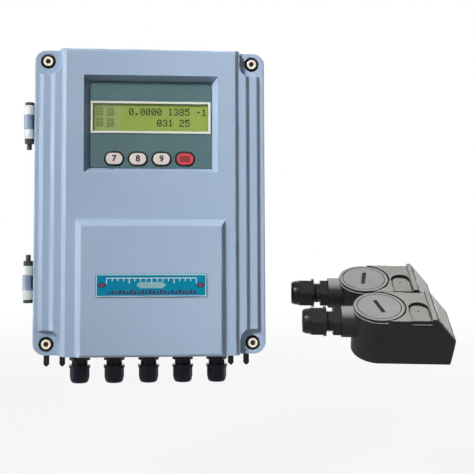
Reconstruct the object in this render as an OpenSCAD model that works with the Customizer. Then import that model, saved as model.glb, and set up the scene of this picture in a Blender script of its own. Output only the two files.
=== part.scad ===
// Ultrasonic flow meter: a wall-mounted converter in a cast case with a hinged lid,
// and its pair of clamp-on transducers.
// Lengths in millimetres. X runs right, Y into the wall and Z up. The origin lies on the
// wall plane, midway between the two hanging keyholes.

/* [Case] */
// Width of the case and its lid
case_w = 192; // [180:1:215]
// Height of the case and its lid
case_h = 251; // [240:1:280]
// Radius of the outer corners, seen from the front
corner_r = 10; // [7:0.5:12]
// Depth of the case from its back to the joint face
case_depth = 52; // [48:1:60]
// Thickness of the cast wall, measured at the lid
wall = 6; // [5.5:0.25:7]
// Thickness of the case back
back_t = 4; // [3:0.5:5]
// Step of the case inside the outline of the lid
case_inset = 1; // [0.5:0.25:1.5]
// Width of the solid corner posts
post_w = 24; // [24:0.5:26]
// Height of the solid corner posts
post_h = 23; // [22:0.5:24]

/* [Lid] */
// Depth of the rim in front of the joint face
rim_h = 12; // [11:0.5:14]
// Height of each of the three steps beside the middle face
step_h = 4; // [3.5:0.25:5]
// Distance from one step to the next
step_w = 9.6; // [9.2:0.1:10.2]
// Width of the slope of each step
step_slope_w = 4.4; // [3:0.2:5]
// Distance of the middle face from the sides of the lid
face_side = 22.8; // [21:0.2:27]
// Thickness of the lid's front wall
lid_t = 4; // [3:0.25:4.5]
// Rounding of the top and bottom edges of the middle face
edge_r = 3; // [1:0.5:4]
// Rounding of the rim's outer edge
rim_edge_r = 1.5; // [0.5:0.25:3]

/* [Lower panel of the lid] */
// Width of the raised lower panel at its foot
panel_w = 124; // [112:1:130]
// Height that the lower panel stands proud of the middle face
panel_rise = 6; // [4:0.5:8]
// Width of the slopes beside the lower panel
panel_side_slope = 6; // [4:0.5:8]
// Width of the slope along the top of the lower panel
panel_top_slope = 7.2; // [4:0.4:9]
// Height of the lower panel's top edge above the middle of the case
panel_top_z = -14; // [-30:1:-8]
// Width of the name plate
name_plate_w = 89.6; // [70:0.4:96]
// Height of the name plate
name_plate_h = 18.6; // [12:0.2:24]
// Thickness of the name plate
name_plate_t = 0.8; // [0.5:0.1:1.5]
// Height of the name plate's centre above the middle of the case
name_plate_z = -68.1; // [-80:0.7:-60]

/* [Window] */
// Width of the window recess at its mouth
window_w = 110; // [106:1:116]
// Height of the window recess at its mouth
window_h = 79.8; // [76:0.2:84]
// Width of the slopes beside the window recess
window_side_slope = 4.6; // [3:0.2:6]
// Width of the slopes above and below the window recess
window_end_slope = 4; // [3:0.2:5.2]
// Depth of the window recess
window_depth = 8; // [5:0.25:8.5]
// Height of the window's centre above the middle of the case
window_z = 63.5; // [58:0.5:66]
// Thickness of the ledge under the front panel
ledge_t = 3.5; // [2.5:0.25:4]
// Thickness of the front panel sheet
sheet_t = 1.2; // [0.8:0.1:1.6]

/* [Display] */
// Distance from the side of the recess floor to the clear display window
display_side = 2.6; // [2.6:0.2:9]
// Height of the clear display window
display_h = 22.8; // [18:0.2:25]
// Height of the display's centre above the centre of the recess floor
display_rise = 6.1; // [4:0.1:8]
// Width of the pale frame round the display
frame_w = 1.9; // [1:0.1:2.3]
// Height of the pale frame above the front panel
frame_t = 0.8; // [0.4:0.1:1.2]
// Thickness of the clear window
clear_t = 1.2; // [0.8:0.1:1.4]
// Thickness of the liquid crystal cell
cell_t = 2.8; // [2:0.1:3]
// Width of the display module beyond each side of the clear window
module_side = 3; // [1:0.5:4]
// Height of the display module
module_h = 34; // [30:1:36]

/* [Keys] */
// Width of a key
key_w = 15.8; // [12:0.2:16]
// Height of a key
key_h = 11.4; // [8:0.2:11.6]
// Distance from key to key
key_pitch = 19.5; // [18.6:0.1:21]
// Drop of the key row below the centre of the recess floor
key_drop = 28.3; // [26:0.1:28.5]
// Distance of the key row's middle to the left of the lid's middle
key_left = 1; // [0:0.1:3]
// Height of a key above the front panel
key_proud = 1; // [0.9:0.1:1.6]
// Travel of a key
key_travel = 0.8; // [0.3:0.1:0.8]
// Gap all round a key
key_gap = 0.55; // [0.3:0.05:0.7]

/* [Lid screws] */
// Distance of a lid screw from the side of the case
screw_side = 11; // [10.6:0.1:12]
// Distance of a lid screw from the top or bottom of the case
screw_end = 9; // [8.8:0.1:10]
// Radius of the screw shank
screw_r = 2.5; // [2:0.1:2.6]
// Radius of the screw head
screw_head_r = 3.9; // [3.6:0.05:4.4]
// Height of the screw head
screw_head_h = 5; // [4:0.25:5.5]
// Length of the screw beyond the joint face
screw_reach = 4; // [3:0.25:4.5]
// Width across the flats of the hexagon socket
socket_af = 4; // [3:0.25:4.2]
// Radius of the round recess for the head
recess_r = 6.2; // [6:0.05:6.6]
// Depth of the round recess for the head
recess_d = 5.5; // [4.5:0.25:6]
// Thickness of the rubber ring under the head
ring_t = 1.2; // [0.8:0.1:1.5]
// Distance from a lid screw to the inner edges of its corner pocket
pocket_in = 9; // [8.4:0.2:10]
// Distance from a lid screw down to the end wall of its pocket
pocket_down = 10.4; // [9:0.2:10.8]
// Width of the slope that the pocket's walls have from the rim up to the middle step
pocket_slope_w = 2.6; // [1:0.2:2.8]
// Rounding of the inner corner of the pocket
pocket_r = 8; // [5:0.5:9]

/* [Hinges] */
// Distance of the hinge axis outside the lid
hinge_out = 5.2; // [5.2:0.1:6.5]
// Height of each hinge above and below the middle of the case
hinge_z = 67; // [50:0.5:80]
// Outer radius of the hinge knuckles
knuckle_r = 4.6; // [4:0.1:4.7]
// Height of the lid's knuckle
knuckle_h = 12; // [9:0.5:16]
// Height of each arm of the case
arm_h = 7.8; // [5:0.2:10]
// Radius of the hinge bolt
bolt_r = 2; // [1.5:0.1:2.2]
// Width across the flats of the bolt head and nut
bolt_af = 7; // [6:0.25:7.5]
// Height of the bolt head
bolt_head_h = 2.8; // [2:0.2:4]
// Height of the nut on the hinge bolt
bolt_nut_h = 4.2; // [3:0.2:5]
// Length of the bolt beyond its nut
bolt_tip = 5; // [2:0.5:7]

/* [Wall brackets] */
// Distance between the two wall brackets
bracket_pitch = 167; // [150:1:170]
// Width of a bracket
bracket_w = 19.2; // [18:0.2:22]
// Thickness of a bracket
bracket_t = 3; // [2.5:0.25:4]
// Width of the open slot at the foot of a bracket
slot_w = 9.2; // [7:0.1:10]
// Length of the open slot
slot_len = 26; // [20:0.5:30]
// Length that the prongs reach below the case
prong_reach = 19.2; // [14:0.2:24]
// Radius of the keyhole's round opening
keyhole_r = 5.5; // [5:0.1:6]
// Radius of the keyhole's narrow end
keyhole_neck_r = 2.8; // [2.2:0.1:3]
// Rise from the round opening to the narrow end
keyhole_rise = 11; // [9:0.5:13]
// Height of the keyholes above the middle of the case
keyhole_z = 96; // [88:1:100]
// Gap between the brackets and the case back
stand_off = 5; // [4:0.25:7]

/* [Cable glands of the case] */
// Distance of the outer glands from the sides of the case
gland_side = 36.8; // [34:0.2:42]
// Distance of the glands from the wall
gland_y = 36; // [30:0.5:38]
// Diameter of the thread in the case wall
gland_thread_d = 14.6; // [13:0.2:15]
// Width across the flats of the hexagon
gland_af = 15.6; // [15.2:0.2:18]
// Height of the hexagon
gland_hex_h = 10; // [5:0.5:12]
// Diameter of the neck between the hexagon and the nut
gland_neck_d = 12.2; // [10:0.2:12.6]
// Height of neck that shows above the nut
gland_gap = 4; // [1:0.2:5]
// Diameter of the dome nut
gland_nut_d = 16.8; // [15.6:0.2:18]
// Height of the dome nut
gland_nut_h = 15; // [14:0.2:18]
// Diameter of the cable bore
gland_cable_d = 6.6; // [5:0.2:7.4]

/* [Boards] */
// Width of the mounting plate
plate_w = 140; // [120:1:144]
// Height of the mounting plate
plate_h = 160; // [140:1:165]
// Thickness of the mounting plate
plate_t = 1.5; // [1:0.25:2]
// Height of the cast posts under the mounting plate
plate_post_h = 6; // [4:0.5:8]
// Width of the main board
board_w = 126; // [110:1:128]
// Height of the main board
board_h = 130; // [120:1:134]
// Thickness of the circuit boards
board_t = 1.6; // [1:0.2:2]
// Height of the spacers under the main board
spacer_h = 10; // [6:0.5:12]
// Height of the boards' centre above the middle of the case
board_z = 22; // [18:1:28]

/* [Transducers] */
// Length of a transducer housing
probe_len = 81; // [78:0.5:92]
// Width of a transducer housing
probe_w = 43.2; // [42.4:0.2:48]
// Height of a transducer housing
probe_h = 42.2; // [41.4:0.2:48]
// Length of the nose's slope, measured along the base
nose_run = 16.6; // [13:0.2:18]
// Height of the nose above the base
nose_z = 23; // [20:0.5:25]
// Undercut of the nose, measured along the base
nose_undercut = 2.8; // [2:0.2:6]
// Height of the lip at the top of the slope
lip_h = 2; // [1:0.2:3]
// Thickness of the lip at the top of the slope
lip_t = 3.2; // [2:0.2:4.6]
// Radius of the round strap pocket
strap_r = 8; // [6.6:0.2:8.2]
// Depth of the strap pocket
strap_d = 3.4; // [2:0.2:4.2]
// Gap between the cap seat and the strap pocket
strap_gap = 1.2; // [1:0.1:2]
// Radius of the round cap
cap_r = 21; // [20:0.1:21.4]
// Thickness of the cap above its seal
cap_t = 1.6; // [1.5:0.1:2.1]
// Thickness of the cap seal
cap_seal_t = 1; // [0.6:0.1:1.4]
// Length of the coin slot in the cap
coin_len = 18.4; // [13:0.2:22]
// Width of the coin slot in the cap
coin_w = 3; // [1.6:0.1:3.4]
// Depth of the coin slot in the cap
coin_d = 1.1; // [0.7:0.1:1.3]
// Height of the gland axis above the base
boss_z = 26.6; // [26:0.2:27]
// Radius of the boss behind the gland
boss_r = 13.1; // [12.6:0.1:13.4]
// Length of the boss beyond the round end
boss_len = 9; // [8:0.2:13]

/* [Cable glands of the transducers] */
// Diameter of the thread in the boss
probe_thread_d = 18.4; // [16:0.4:19]
// Width across the flats of the hexagon
probe_af = 22; // [20:0.25:25]
// Height of the hexagon
probe_hex_h = 7; // [5:0.5:10]
// Diameter of the neck between the hexagon and the nut
probe_neck_d = 16; // [14:0.2:16.6]
// Height of neck that shows beside the nut
probe_gap_h = 5.4; // [2:0.2:8]
// Diameter of the dome nut
probe_nut_d = 25; // [22:0.25:26]
// Length of the dome nut
probe_nut_h = 19.8; // [18:0.2:23]
// Diameter of the cable bore
probe_cable_d = 8.4; // [6:0.2:10]

/* [Place of the transducers] */
// Distance of the front transducer's cap to the right of the case's middle
probe_x = 193; // [193:1:230]
// Distance of the front transducer's base from the wall
probe_y = 62; // [62:1:90]
// Drop of the front transducer's base below the middle of the case
probe_drop = 123; // [90:0.5:140]
// Tilt of the pair towards the viewer, as on the flank of a pipe
probe_tilt = 29.5; // [0:0.5:45]
// Turn of the pair about the vertical, its noses towards the viewer
probe_turn = 11; // [0:1:20]
// Gap between the two transducers
pair_gap = 0.6; // [0.4:0.2:12]
// Shift of the rear transducer to the left
pair_shift = 8.2; // [0:0.2:12]

/* [Hidden] */
$fn = 48;
// Overrun of a cut past the face it opens
cut = 1;
// Clearance between parts that are fitted once
fit = 0.1;
// Running clearance between a part that turns or slides and its bore
run = 0.08;
// Clearance between parts that swing past each other
swing = 0.5;
// Steps along a rounded corner
arc_n = 12;
// Steps along an S-shaped slope
slope_n = 8;

paint = [0.60, 0.68, 0.79];
plastic = [0.13, 0.13, 0.14];
housing_grey = [0.30, 0.31, 0.31];
zinc = [0.74, 0.77, 0.79];
steel = [0.78, 0.77, 0.74];
rubber = [0.08, 0.08, 0.08];
board_green = [0.10, 0.38, 0.22];

// Depths from the wall to each face, all negative towards the viewer
case_z = -keyhole_z;
back_y = -(bracket_t + stand_off);
joint_y = back_y - case_depth;
rim_y = joint_y - rim_h;
strip_y = rim_y - step_h;
terrace_y = strip_y - step_h;
face_y = terrace_y - step_h;
panel_y = face_y - panel_rise;
floor_y = face_y + window_depth;
window_floor_w = window_w - 2 * window_side_slope;
window_floor_h = window_h - 2 * window_end_slope;
display_w = window_floor_w - 2 * display_side;
face_w = case_w - 2 * face_side;
ledge_y = floor_y + ledge_t;
sheet_y = floor_y - sheet_t;
inner_back_y = back_y - back_t;
plate_y = inner_back_y - plate_post_h;
board_y = plate_y - plate_t - spacer_h;
screw_x = case_w / 2 - screw_side;
screw_z = case_h / 2 - screw_end;
bottom_z = -case_h / 2 + case_inset;
gland_pitch = (case_w / 2 - gland_side) / 2;

// Joint seal
groove_w = 2.6;
groove_d = 2.4;
groove_in = 1.7;

// Fixing screws of the brackets
bracket_screw_r = 2;
bracket_head_r = 3.9;
bracket_head_h = 1.6;
bracket_screw_len = 7.5;
bracket_boss_r = 8;
bracket_top_z = keyhole_z + keyhole_rise + bracket_w / 2;
bracket_hole_in = 30;
bracket_hole_high = keyhole_z - bracket_hole_in;
bracket_hole_low = -case_h / 2 + bracket_hole_in;
prong_tip_r = 2;

// Small screws that hold the boards and the plate
small_r = 1.5;
small_head_r = 2.8;
small_head_h = 2;
small_len = 6;
small_post_r = 4;
spacer_af = 5.5;
plate_margin = 8;
board_margin = 6;

// Parts on the main board
terminal_h = 12;
terminal_z = 10;
terminal_w = 112;
terminal_n = 14;
terminal_mouth = 4;
power_w = 52;
power_h = 36;
power_d = 20;
power_r = 2;

// Gap behind the display and the keys
display_deep = 6.5;
key_flange = 1.6;
key_flange_t = 1;
key_edge = 0.35;
switch_w = 6;
switch_gap = 0.2;
plunger_r = 1.7;
plunger_h = 1;
display_board_edge = 4.3;
display_board_w = window_w + display_board_edge;
display_board_h = window_h + display_board_edge;
display_board_y = ledge_y + display_deep;
display_hole_in = 2;
display_hole_x = window_w / 2 - display_hole_in;
display_hole_z = window_h / 2 - display_hole_in;
display_z = window_z + display_rise;
key_z = window_z - key_drop;
switch_back = display_board_y;
key_back = ledge_y + key_flange_t;
ledge_clear = 0.5;

// Name plate edge
plate_corner_r = 1;

// Hinge places
hinge_x = -(case_w / 2 + hinge_out);
web_d = 9;
leaf_t = 2.6;
arm_gap = 0.2;
bolt_half = knuckle_h / 2 + arm_gap + arm_h;

// Lid screw holes in the case
screw_hole_free = 0.6;
screw_hole_extra = 3;
ring_in_gap = 0.1;

// Gland details common to both sizes
neck_wall = 1.3;
nut_end_t = 3;
seal_head_t = 1.4;
seal_gap = 0.1;
bush_len = 7;
collar_h = 2.2;
dome_share = 0.30;
tip_share = 0.68;
case_collar_out = 0.7;
case_flat_share = 0.94;
case_dome_r_share = 0.97;
probe_collar_out = 0;
probe_flat_share = 0.875;
probe_dome_r_share = 0.85;
thread_inside = 7;
locknut_h = 4;
locknut_af = 19;
cable_free = 0.6;

// Sizes of a gland, in the order that the functions below read them
case_gland = [gland_thread_d / 2, gland_af, gland_hex_h, gland_neck_d / 2, gland_gap,
    gland_nut_d / 2, gland_nut_h, gland_cable_d / 2,
    case_collar_out, case_flat_share, case_dome_r_share];
probe_gland = [probe_thread_d / 2, probe_af, probe_hex_h, probe_neck_d / 2, probe_gap_h,
    probe_nut_d / 2, probe_nut_h, probe_cable_d / 2,
    probe_collar_out, probe_flat_share, probe_dome_r_share];
function thread_r(g) = g[0];
function hex_af(g) = g[1];
function hex_h(g) = g[2];
function neck_r(g) = g[3];
function nut_from(g) = g[2] + g[4];
function nut_r(g) = g[5];
function nut_h(g) = g[6];
function cable_r(g) = g[7];
function collar_out(g) = g[8];
function flat_share(g) = g[9];
function dome_r(g) = g[5] * g[10];
function neck_top(g) = nut_from(g) + nut_h(g) - nut_end_t - seal_head_t;

// Transducer details
round_r = probe_w / 2;
nose_x = probe_len - round_r;
slope_top_x = nose_x - nose_run;
lip_x = slope_top_x - lip_t;
seat_z = probe_h - cap_t - cap_seal_t;
seat_r = round_r + swing;
nose_edge_r = 2;
skirt_r = 18.1;
skirt_h = 4.8;
skirt_wall = 2;
cap_ring_r = 17.6;
cap_groove_w = 0.5;
cap_groove_d = 0.4;
cap_chamfer = 0.5;
cap_top = probe_h;
chamber_r = 16.8;
chamber_floor_r = 14.6;
terminals_z = 22;
chamber_z = 18;
mouth_z = seat_z - skirt_h - cut;
wedge_from = -7.4;
wedge_end_in = 7.4;
wedge_to = nose_x - nose_undercut - wedge_end_in;
wedge_half = 16.5;
wedge_top = 15.2;
wedge_low = 6.4;
wedge_crest = 12.8;
crystal_r = 7.3;
crystal_t = 1.5;
strap_x = seat_r + strap_gap + strap_r;
strap_y = -1.8;
strap_wall = 1.5;
strap_hole_r = 0.9;
strap_hole_d = 2;
notch_d = 0.8;
label_len = 19.4;
label_w = 36.8;
label_t = 0.4;
front_coin_turn = -73;
rear_coin_turn = -100;
probe_board_gap = 0.3;
probe_board_r = chamber_r - probe_board_gap;
probe_block_w = 14.6;
probe_block_d = 7.4;
probe_block_h = 8.2;
wire_r = 2.3;

// Points of an arc about c with radius r, from angle a to angle b
function arc(c, r, a, b) = [for (i = [0:arc_n])
    let (t = a + (b - a) * i / arc_n) [c.x + r * cos(t), c.y + r * sin(t)]];

// Points of a slope from p to q that is level at both ends
function slope(p, q) = [for (i = [0:slope_n])
    let (t = i / slope_n) [p.x + (q.x - p.x) * t, p.y + (q.y - p.y) * (1 - cos(180 * t)) / 2]];

// The same points on the other side of the middle, in reverse order
function mirrored(pts) = [for (i = [len(pts) - 1:-1:0]) [-pts[i].x, pts[i].y]];

// Points of a rectangle with rounded corners
function round_rect(w, h, r) = concat(
    arc([w / 2 - r, h / 2 - r], r, 0, 90),
    arc([r - w / 2, h / 2 - r], r, 90, 180),
    arc([r - w / 2, r - h / 2], r, 180, 270),
    arc([w / 2 - r, r - h / 2], r, 270, 360));

// Points of a rectangle whose short ends are half circles
function stadium(w, h) = concat(
    arc([(w - h) / 2, 0], h / 2, -90, 90),
    arc([(h - w) / 2, 0], h / 2, 90, 270));

module along_x(left, right) {
    translate([left, 0, 0]) rotate([90, 0, 90]) linear_extrude(height = right - left) children();
}

module along_y(front, back) {
    translate([0, back, 0]) rotate([90, 0, 0]) linear_extrude(height = back - front) children();
}

module along_z(low, high) {
    translate([0, 0, low]) linear_extrude(height = high - low) children();
}

// A round bar or hole along Y
module rod_y(r, front, back) {
    translate([0, back, 0]) rotate([90, 0, 0]) cylinder(r = r, h = back - front);
}

// A round bar or hole along Z, standing on the height low
module rod_z(r, low, high) {
    translate([0, 0, low]) cylinder(r = r, h = high - low);
}

// Copies in the four quarters of the front view
module quarters() {
    for (mx = [0, 1], mz = [0, 1]) mirror([mx, 0, 0]) mirror([0, 0, mz]) children();
}

module at_case() {
    translate([0, 0, case_z]) children();
}

// Hexagonal prism with a given width across its flats
module hex(af, h) {
    cylinder(r = af / sqrt(3), h = h, $fn = 6);
}

// Outline of the hollow in the case and lid, which leaves a post in each corner
module hollow_outline(grow) {
    square([case_w - 2 * wall + 2 * grow, case_h - 2 * post_h + 2 * grow], center = true);
    square([case_w - 2 * post_w + 2 * grow, case_h - 2 * wall + 2 * grow], center = true);
}

// Case

module hinge_arms() {
    color(zinc) at_case() for (side = [-1, 1], arm = [-1, 1])
        translate([hinge_x, joint_y, side * hinge_z + arm * (knuckle_h / 2 + arm_gap + arm_h / 2)])
            difference() {
                union() {
                    rod_z(knuckle_r, -arm_h / 2, arm_h / 2);
                    translate([0, swing, -arm_h / 2]) cube([hinge_out + case_inset, web_d, arm_h]);
                }
                rod_z(bolt_r + fit, -arm_h, arm_h);
            }
}

module case() {
    color(paint) at_case() difference() {
        union() {
            difference() {
                along_y(joint_y, back_y)
                    polygon(round_rect(case_w - 2 * case_inset, case_h - 2 * case_inset,
                        corner_r - case_inset));
                along_y(joint_y - cut, inner_back_y) hollow_outline(0);
            }
            for (side = [-1, 1], z = [bracket_hole_low, bracket_hole_high])
                translate([side * bracket_pitch / 2, 0, z])
                    rod_y(bracket_boss_r, back_y - back_t / 2, -bracket_t);
            for (side = [-1, 1], end = [-1, 1])
                translate([side * (plate_w / 2 - plate_margin), 0,
                        board_z + end * (plate_h / 2 - plate_margin)])
                    rod_y(small_post_r, plate_y, inner_back_y + back_t / 2);
        }
        along_y(joint_y - cut, joint_y + groove_d) difference() {
            hollow_outline(groove_in + groove_w);
            hollow_outline(groove_in);
        }
        quarters() translate([screw_x, 0, screw_z])
            rod_y(screw_r + screw_hole_free, joint_y - cut, joint_y + screw_reach + screw_hole_extra);
        for (side = [-1, 1], z = [bracket_hole_low, bracket_hole_high])
            translate([side * bracket_pitch / 2, 0, z])
                rod_y(bracket_screw_r + fit, -bracket_t - bracket_screw_len, -bracket_t + cut);
        for (side = [-1, 1], end = [-1, 1])
            translate([side * (plate_w / 2 - plate_margin), 0,
                    board_z + end * (plate_h / 2 - plate_margin)])
                rod_y(small_r + fit, plate_y - cut, plate_y + small_len);
        for (i = [-2:2]) translate([i * gland_pitch, -gland_y, bottom_z])
            rod_z(thread_r(case_gland) + fit, -cut, wall + cut);
    }
}

module case_gasket() {
    color(rubber) at_case() along_y(joint_y, joint_y + groove_d) difference() {
        hollow_outline(groove_in + groove_w - fit);
        hollow_outline(groove_in + fit);
    }
}

// Wall brackets

module bracket_outline() {
    foot_z = -case_h / 2 - prong_reach;
    difference() {
        translate([-bracket_w / 2, foot_z]) square([bracket_w, bracket_top_z - foot_z]);
        translate([0, foot_z + slot_len - slot_w / 2]) circle(r = slot_w / 2);
        translate([-slot_w / 2, foot_z - cut]) square([slot_w, slot_len - slot_w / 2 + cut]);
        translate([0, keyhole_z]) circle(r = keyhole_r);
        translate([-keyhole_neck_r, keyhole_z]) square([2 * keyhole_neck_r, keyhole_rise]);
        translate([0, keyhole_z + keyhole_rise]) circle(r = keyhole_neck_r);
        for (side = [-1, 1], edge = [-1, 1])
            translate([side * (bracket_w + slot_w) / 4 + edge * (bracket_w - slot_w) / 4, foot_z])
                rotate(45) square(prong_tip_r * sqrt(2), center = true);
    }
}

module wall_brackets() {
    color(plastic) at_case() for (side = [-1, 1]) translate([side * bracket_pitch / 2, 0, 0])
        difference() {
            along_y(-bracket_t, 0) bracket_outline();
            for (z = [bracket_hole_low, bracket_hole_high]) translate([0, 0, z]) {
                rod_y(bracket_screw_r + fit, -bracket_t - cut, cut);
                rod_y(bracket_head_r + fit, -bracket_head_h, cut);
            }
        }
}

// Inside the case

module mounting_plate() {
    color(steel) at_case() translate([0, 0, board_z]) difference() {
        along_y(plate_y - plate_t, plate_y) square([plate_w, plate_h], center = true);
        quarters() translate([plate_w / 2 - plate_margin, 0, plate_h / 2 - plate_margin])
            rod_y(small_r + fit, plate_y - plate_t - cut, plate_y + cut);
    }
}

module board_spacers() {
    color([0.80, 0.68, 0.38]) at_case() translate([0, 0, board_z])
        quarters() translate([board_w / 2 - board_margin, plate_y - plate_t, board_h / 2 - board_margin])
            rotate([90, 0, 0]) difference() {
                hex(spacer_af, spacer_h);
                translate([0, 0, spacer_h - small_len]) cylinder(r = small_r + fit, h = small_len + cut);
            }
}

module main_board() {
    color(board_green) at_case() translate([0, 0, board_z]) difference() {
        along_y(board_y - board_t, board_y) square([board_w, board_h], center = true);
        quarters() translate([board_w / 2 - board_margin, 0, board_h / 2 - board_margin])
            rod_y(small_r + fit, board_y - board_t - cut, board_y + cut);
    }
}

// A small pan-head screw whose head stands in front of the depth seat
module small_screw(seat, len) {
    difference() {
        union() {
            rod_y(small_head_r, seat - small_head_h, seat);
            rod_y(small_r, seat, seat + len);
        }
        along_y(seat - small_head_h - cut, seat - small_head_h / 2) for (turn = [0, 90]) rotate(turn)
            square([small_head_r, small_head_r / 4], center = true);
    }
}

// A countersunk screw that holds a bracket, its head in the bracket's back
module bracket_screw() {
    difference() {
        union() {
            rod_y(bracket_head_r, -bracket_head_h, 0);
            rod_y(bracket_screw_r, -bracket_t - bracket_screw_len + cut, -bracket_head_h);
        }
        along_y(-bracket_head_h / 2, cut) for (turn = [0, 90]) rotate(turn)
            square([bracket_head_r, bracket_head_r / 4], center = true);
    }
}

module fixing_screws() {
    color(steel) at_case() {
        for (side = [-1, 1], z = [bracket_hole_low, bracket_hole_high])
            translate([side * bracket_pitch / 2, 0, z]) bracket_screw();
        translate([0, 0, board_z]) {
            quarters() translate([plate_w / 2 - plate_margin, 0, plate_h / 2 - plate_margin])
                small_screw(plate_y - plate_t, small_len);
            quarters() translate([board_w / 2 - board_margin, 0, board_h / 2 - board_margin])
                small_screw(board_y - board_t, small_len);
        }
    }
}

module terminal_block() {
    terminal_pitch = terminal_w / terminal_n;
    block_z = board_z - board_h / 2 + board_margin + 2 * small_head_r;
    color([0.20, 0.50, 0.35]) at_case() difference() {
        translate([-terminal_w / 2, board_y - board_t - terminal_h, block_z])
            cube([terminal_w, terminal_h, terminal_z]);
        for (i = [0:terminal_n - 1]) translate([(i + 0.5) * terminal_pitch - terminal_w / 2, 0, block_z]) {
            translate([-terminal_mouth / 2, board_y - board_t - terminal_h / 2, -cut])
                cube([terminal_mouth, terminal_mouth, terminal_mouth + cut]);
            translate([0, 0, terminal_z / 2 + terminal_mouth / 2])
                rod_y(terminal_mouth / 2, board_y - board_t - terminal_h - cut,
                    board_y - board_t - terminal_h / 2 - cut);
        }
    }
}

module power_module() {
    color([0.12, 0.12, 0.13]) at_case()
        translate([-board_w / 4, 0, board_z + board_h / 4 - board_margin])
            along_y(board_y - board_t - power_d, board_y - board_t)
                polygon(round_rect(power_w, power_h, power_r));
}

// Cable glands, drawn about their own axis with the nut towards +Z and the seat at zero

module gland_body(g, tail) {
    difference() {
        union() {
            rod_z(thread_r(g), -tail, hex_h(g) / 2);
            hex(hex_af(g), hex_h(g));
            rod_z(neck_r(g), hex_h(g) / 2, neck_top(g));
        }
        rod_z(neck_r(g) - neck_wall, -tail - cut, neck_top(g) + cut);
    }
}

module gland_seal(g) {
    top = neck_top(g);
    rotate_extrude() polygon([
        [cable_r(g), top - bush_len],
        [neck_r(g) - neck_wall - seal_gap, top - bush_len],
        [neck_r(g) - neck_wall - seal_gap, top + seal_gap],
        [neck_r(g) - seal_gap, top + seal_gap],
        [neck_r(g) - seal_gap, top + seal_head_t - seal_gap],
        [cable_r(g), top + seal_head_t - seal_gap]
    ]);
}

module gland_nut(g) {
    low = nut_from(g);
    top = low + nut_h(g);
    dome = nut_h(g) * dome_share;
    tip = nut_r(g) * tip_share;
    difference() {
        union() {
            rod_z(nut_r(g) + collar_out(g), low, low + collar_h);
            intersection() {
                rotate_extrude() polygon(concat(
                    [[0, low], [nut_r(g), low], [nut_r(g), top - dome - nut_r(g) + dome_r(g)]],
                    [for (i = [0:slope_n]) let (t = 90 * i / slope_n)
                        [tip + (dome_r(g) - tip) * cos(t), top - dome + dome * sin(t)]],
                    [[0, top]]));
                translate([0, 0, low - cut]) hex(2 * nut_r(g) * flat_share(g), nut_h(g) + 2 * cut);
            }
        }
        rod_z(neck_r(g) + run, low - cut, top - nut_end_t);
        rod_z(cable_r(g) + cable_free, low, top + cut);
    }
}

module locknut(g) {
    difference() {
        hex(locknut_af, locknut_h);
        rod_z(thread_r(g) + fit, -cut, locknut_h + cut);
    }
}

// Puts a gland of the case at its place, numbered from -2 on the left to 2 on the right
module case_gland_place(i) {
    at_case() translate([i * gland_pitch, -gland_y, bottom_z]) rotate([180, 0, 0]) children();
}

module gland_bodies() {
    color(plastic) for (i = [-2:2]) case_gland_place(i)
        gland_body(case_gland, wall - case_inset + thread_inside);
}

module gland_seals() {
    color(rubber) for (i = [-2:2]) case_gland_place(i) gland_seal(case_gland);
}

module gland_locknuts() {
    color(plastic) for (i = [-2:2]) case_gland_place(i)
        translate([0, 0, case_inset - wall - locknut_h]) locknut(case_gland);
}

module case_gland_nut(i) {
    color(plastic) case_gland_place(i) gland_nut(case_gland);
}

// Hinge bolts: the upper one is put in from above, the lower one from below

module hinge_bolts() {
    color(steel) at_case() for (flip = [0, 1]) mirror([0, 0, flip])
        translate([hinge_x, joint_y, hinge_z]) {
            translate([0, 0, bolt_half]) hex(bolt_af, bolt_head_h);
            rod_z(bolt_r, -bolt_half - bolt_nut_h - bolt_tip, bolt_half);
        }
}

module hinge_nuts() {
    color(steel) at_case() for (flip = [0, 1]) mirror([0, 0, flip])
        translate([hinge_x, joint_y, hinge_z - bolt_half - bolt_nut_h]) difference() {
            hex(bolt_af, bolt_nut_h);
            rod_z(bolt_r + fit, -cut, bolt_nut_h + cut);
        }
}

// Lid

// Half of the lid's cross-section, from the middle face out to the joint face
function lid_half() = concat(
    slope([face_w / 2 - step_slope_w, face_y], [face_w / 2, terrace_y]),
    slope([face_w / 2 + step_w - step_slope_w, terrace_y], [face_w / 2 + step_w, strip_y]),
    slope([face_w / 2 + 2 * step_w - step_slope_w, strip_y], [face_w / 2 + 2 * step_w, rim_y]),
    arc([case_w / 2 - rim_edge_r, rim_y + rim_edge_r], rim_edge_r, -90, 0),
    [[case_w / 2, joint_y]]);

// Half of the lower panel's cross-section
function panel_half() = concat(
    slope([panel_w / 2 - panel_side_slope, panel_y], [panel_w / 2, face_y]),
    [[panel_w / 2, face_y + lid_t / 2]]);

module lower_panel() {
    top = [face_y, panel_top_z];
    intersection() {
        along_z(-case_h / 2, panel_top_z) polygon(concat(panel_half(), mirrored(panel_half())));
        along_x(-panel_w / 2, panel_w / 2) polygon(concat(
            [[face_y + lid_t / 2, -case_h / 2], [panel_y, -case_h / 2]],
            [for (p = slope([panel_top_z - panel_top_slope, panel_y], [panel_top_z, face_y])) [p.y, p.x]],
            [[face_y + lid_t / 2, panel_top_z]]));
    }
}

module lid_outside() {
    intersection() {
        union() {
            along_z(-case_h / 2, case_h / 2) polygon(concat(lid_half(), mirrored(lid_half())));
            lower_panel();
        }
        along_y(panel_y - cut, joint_y) polygon(round_rect(case_w, case_h, corner_r));
        along_x(-case_w / 2, case_w / 2) polygon(concat(
            [[joint_y, case_h / 2]],
            arc([face_y + edge_r, case_h / 2 - edge_r], edge_r, 90, 180),
            [[face_y, panel_top_z], [panel_y, panel_top_z]],
            arc([panel_y + edge_r, edge_r - case_h / 2], edge_r, 180, 270),
            [[joint_y, -case_h / 2]]));
    }
}

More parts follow.
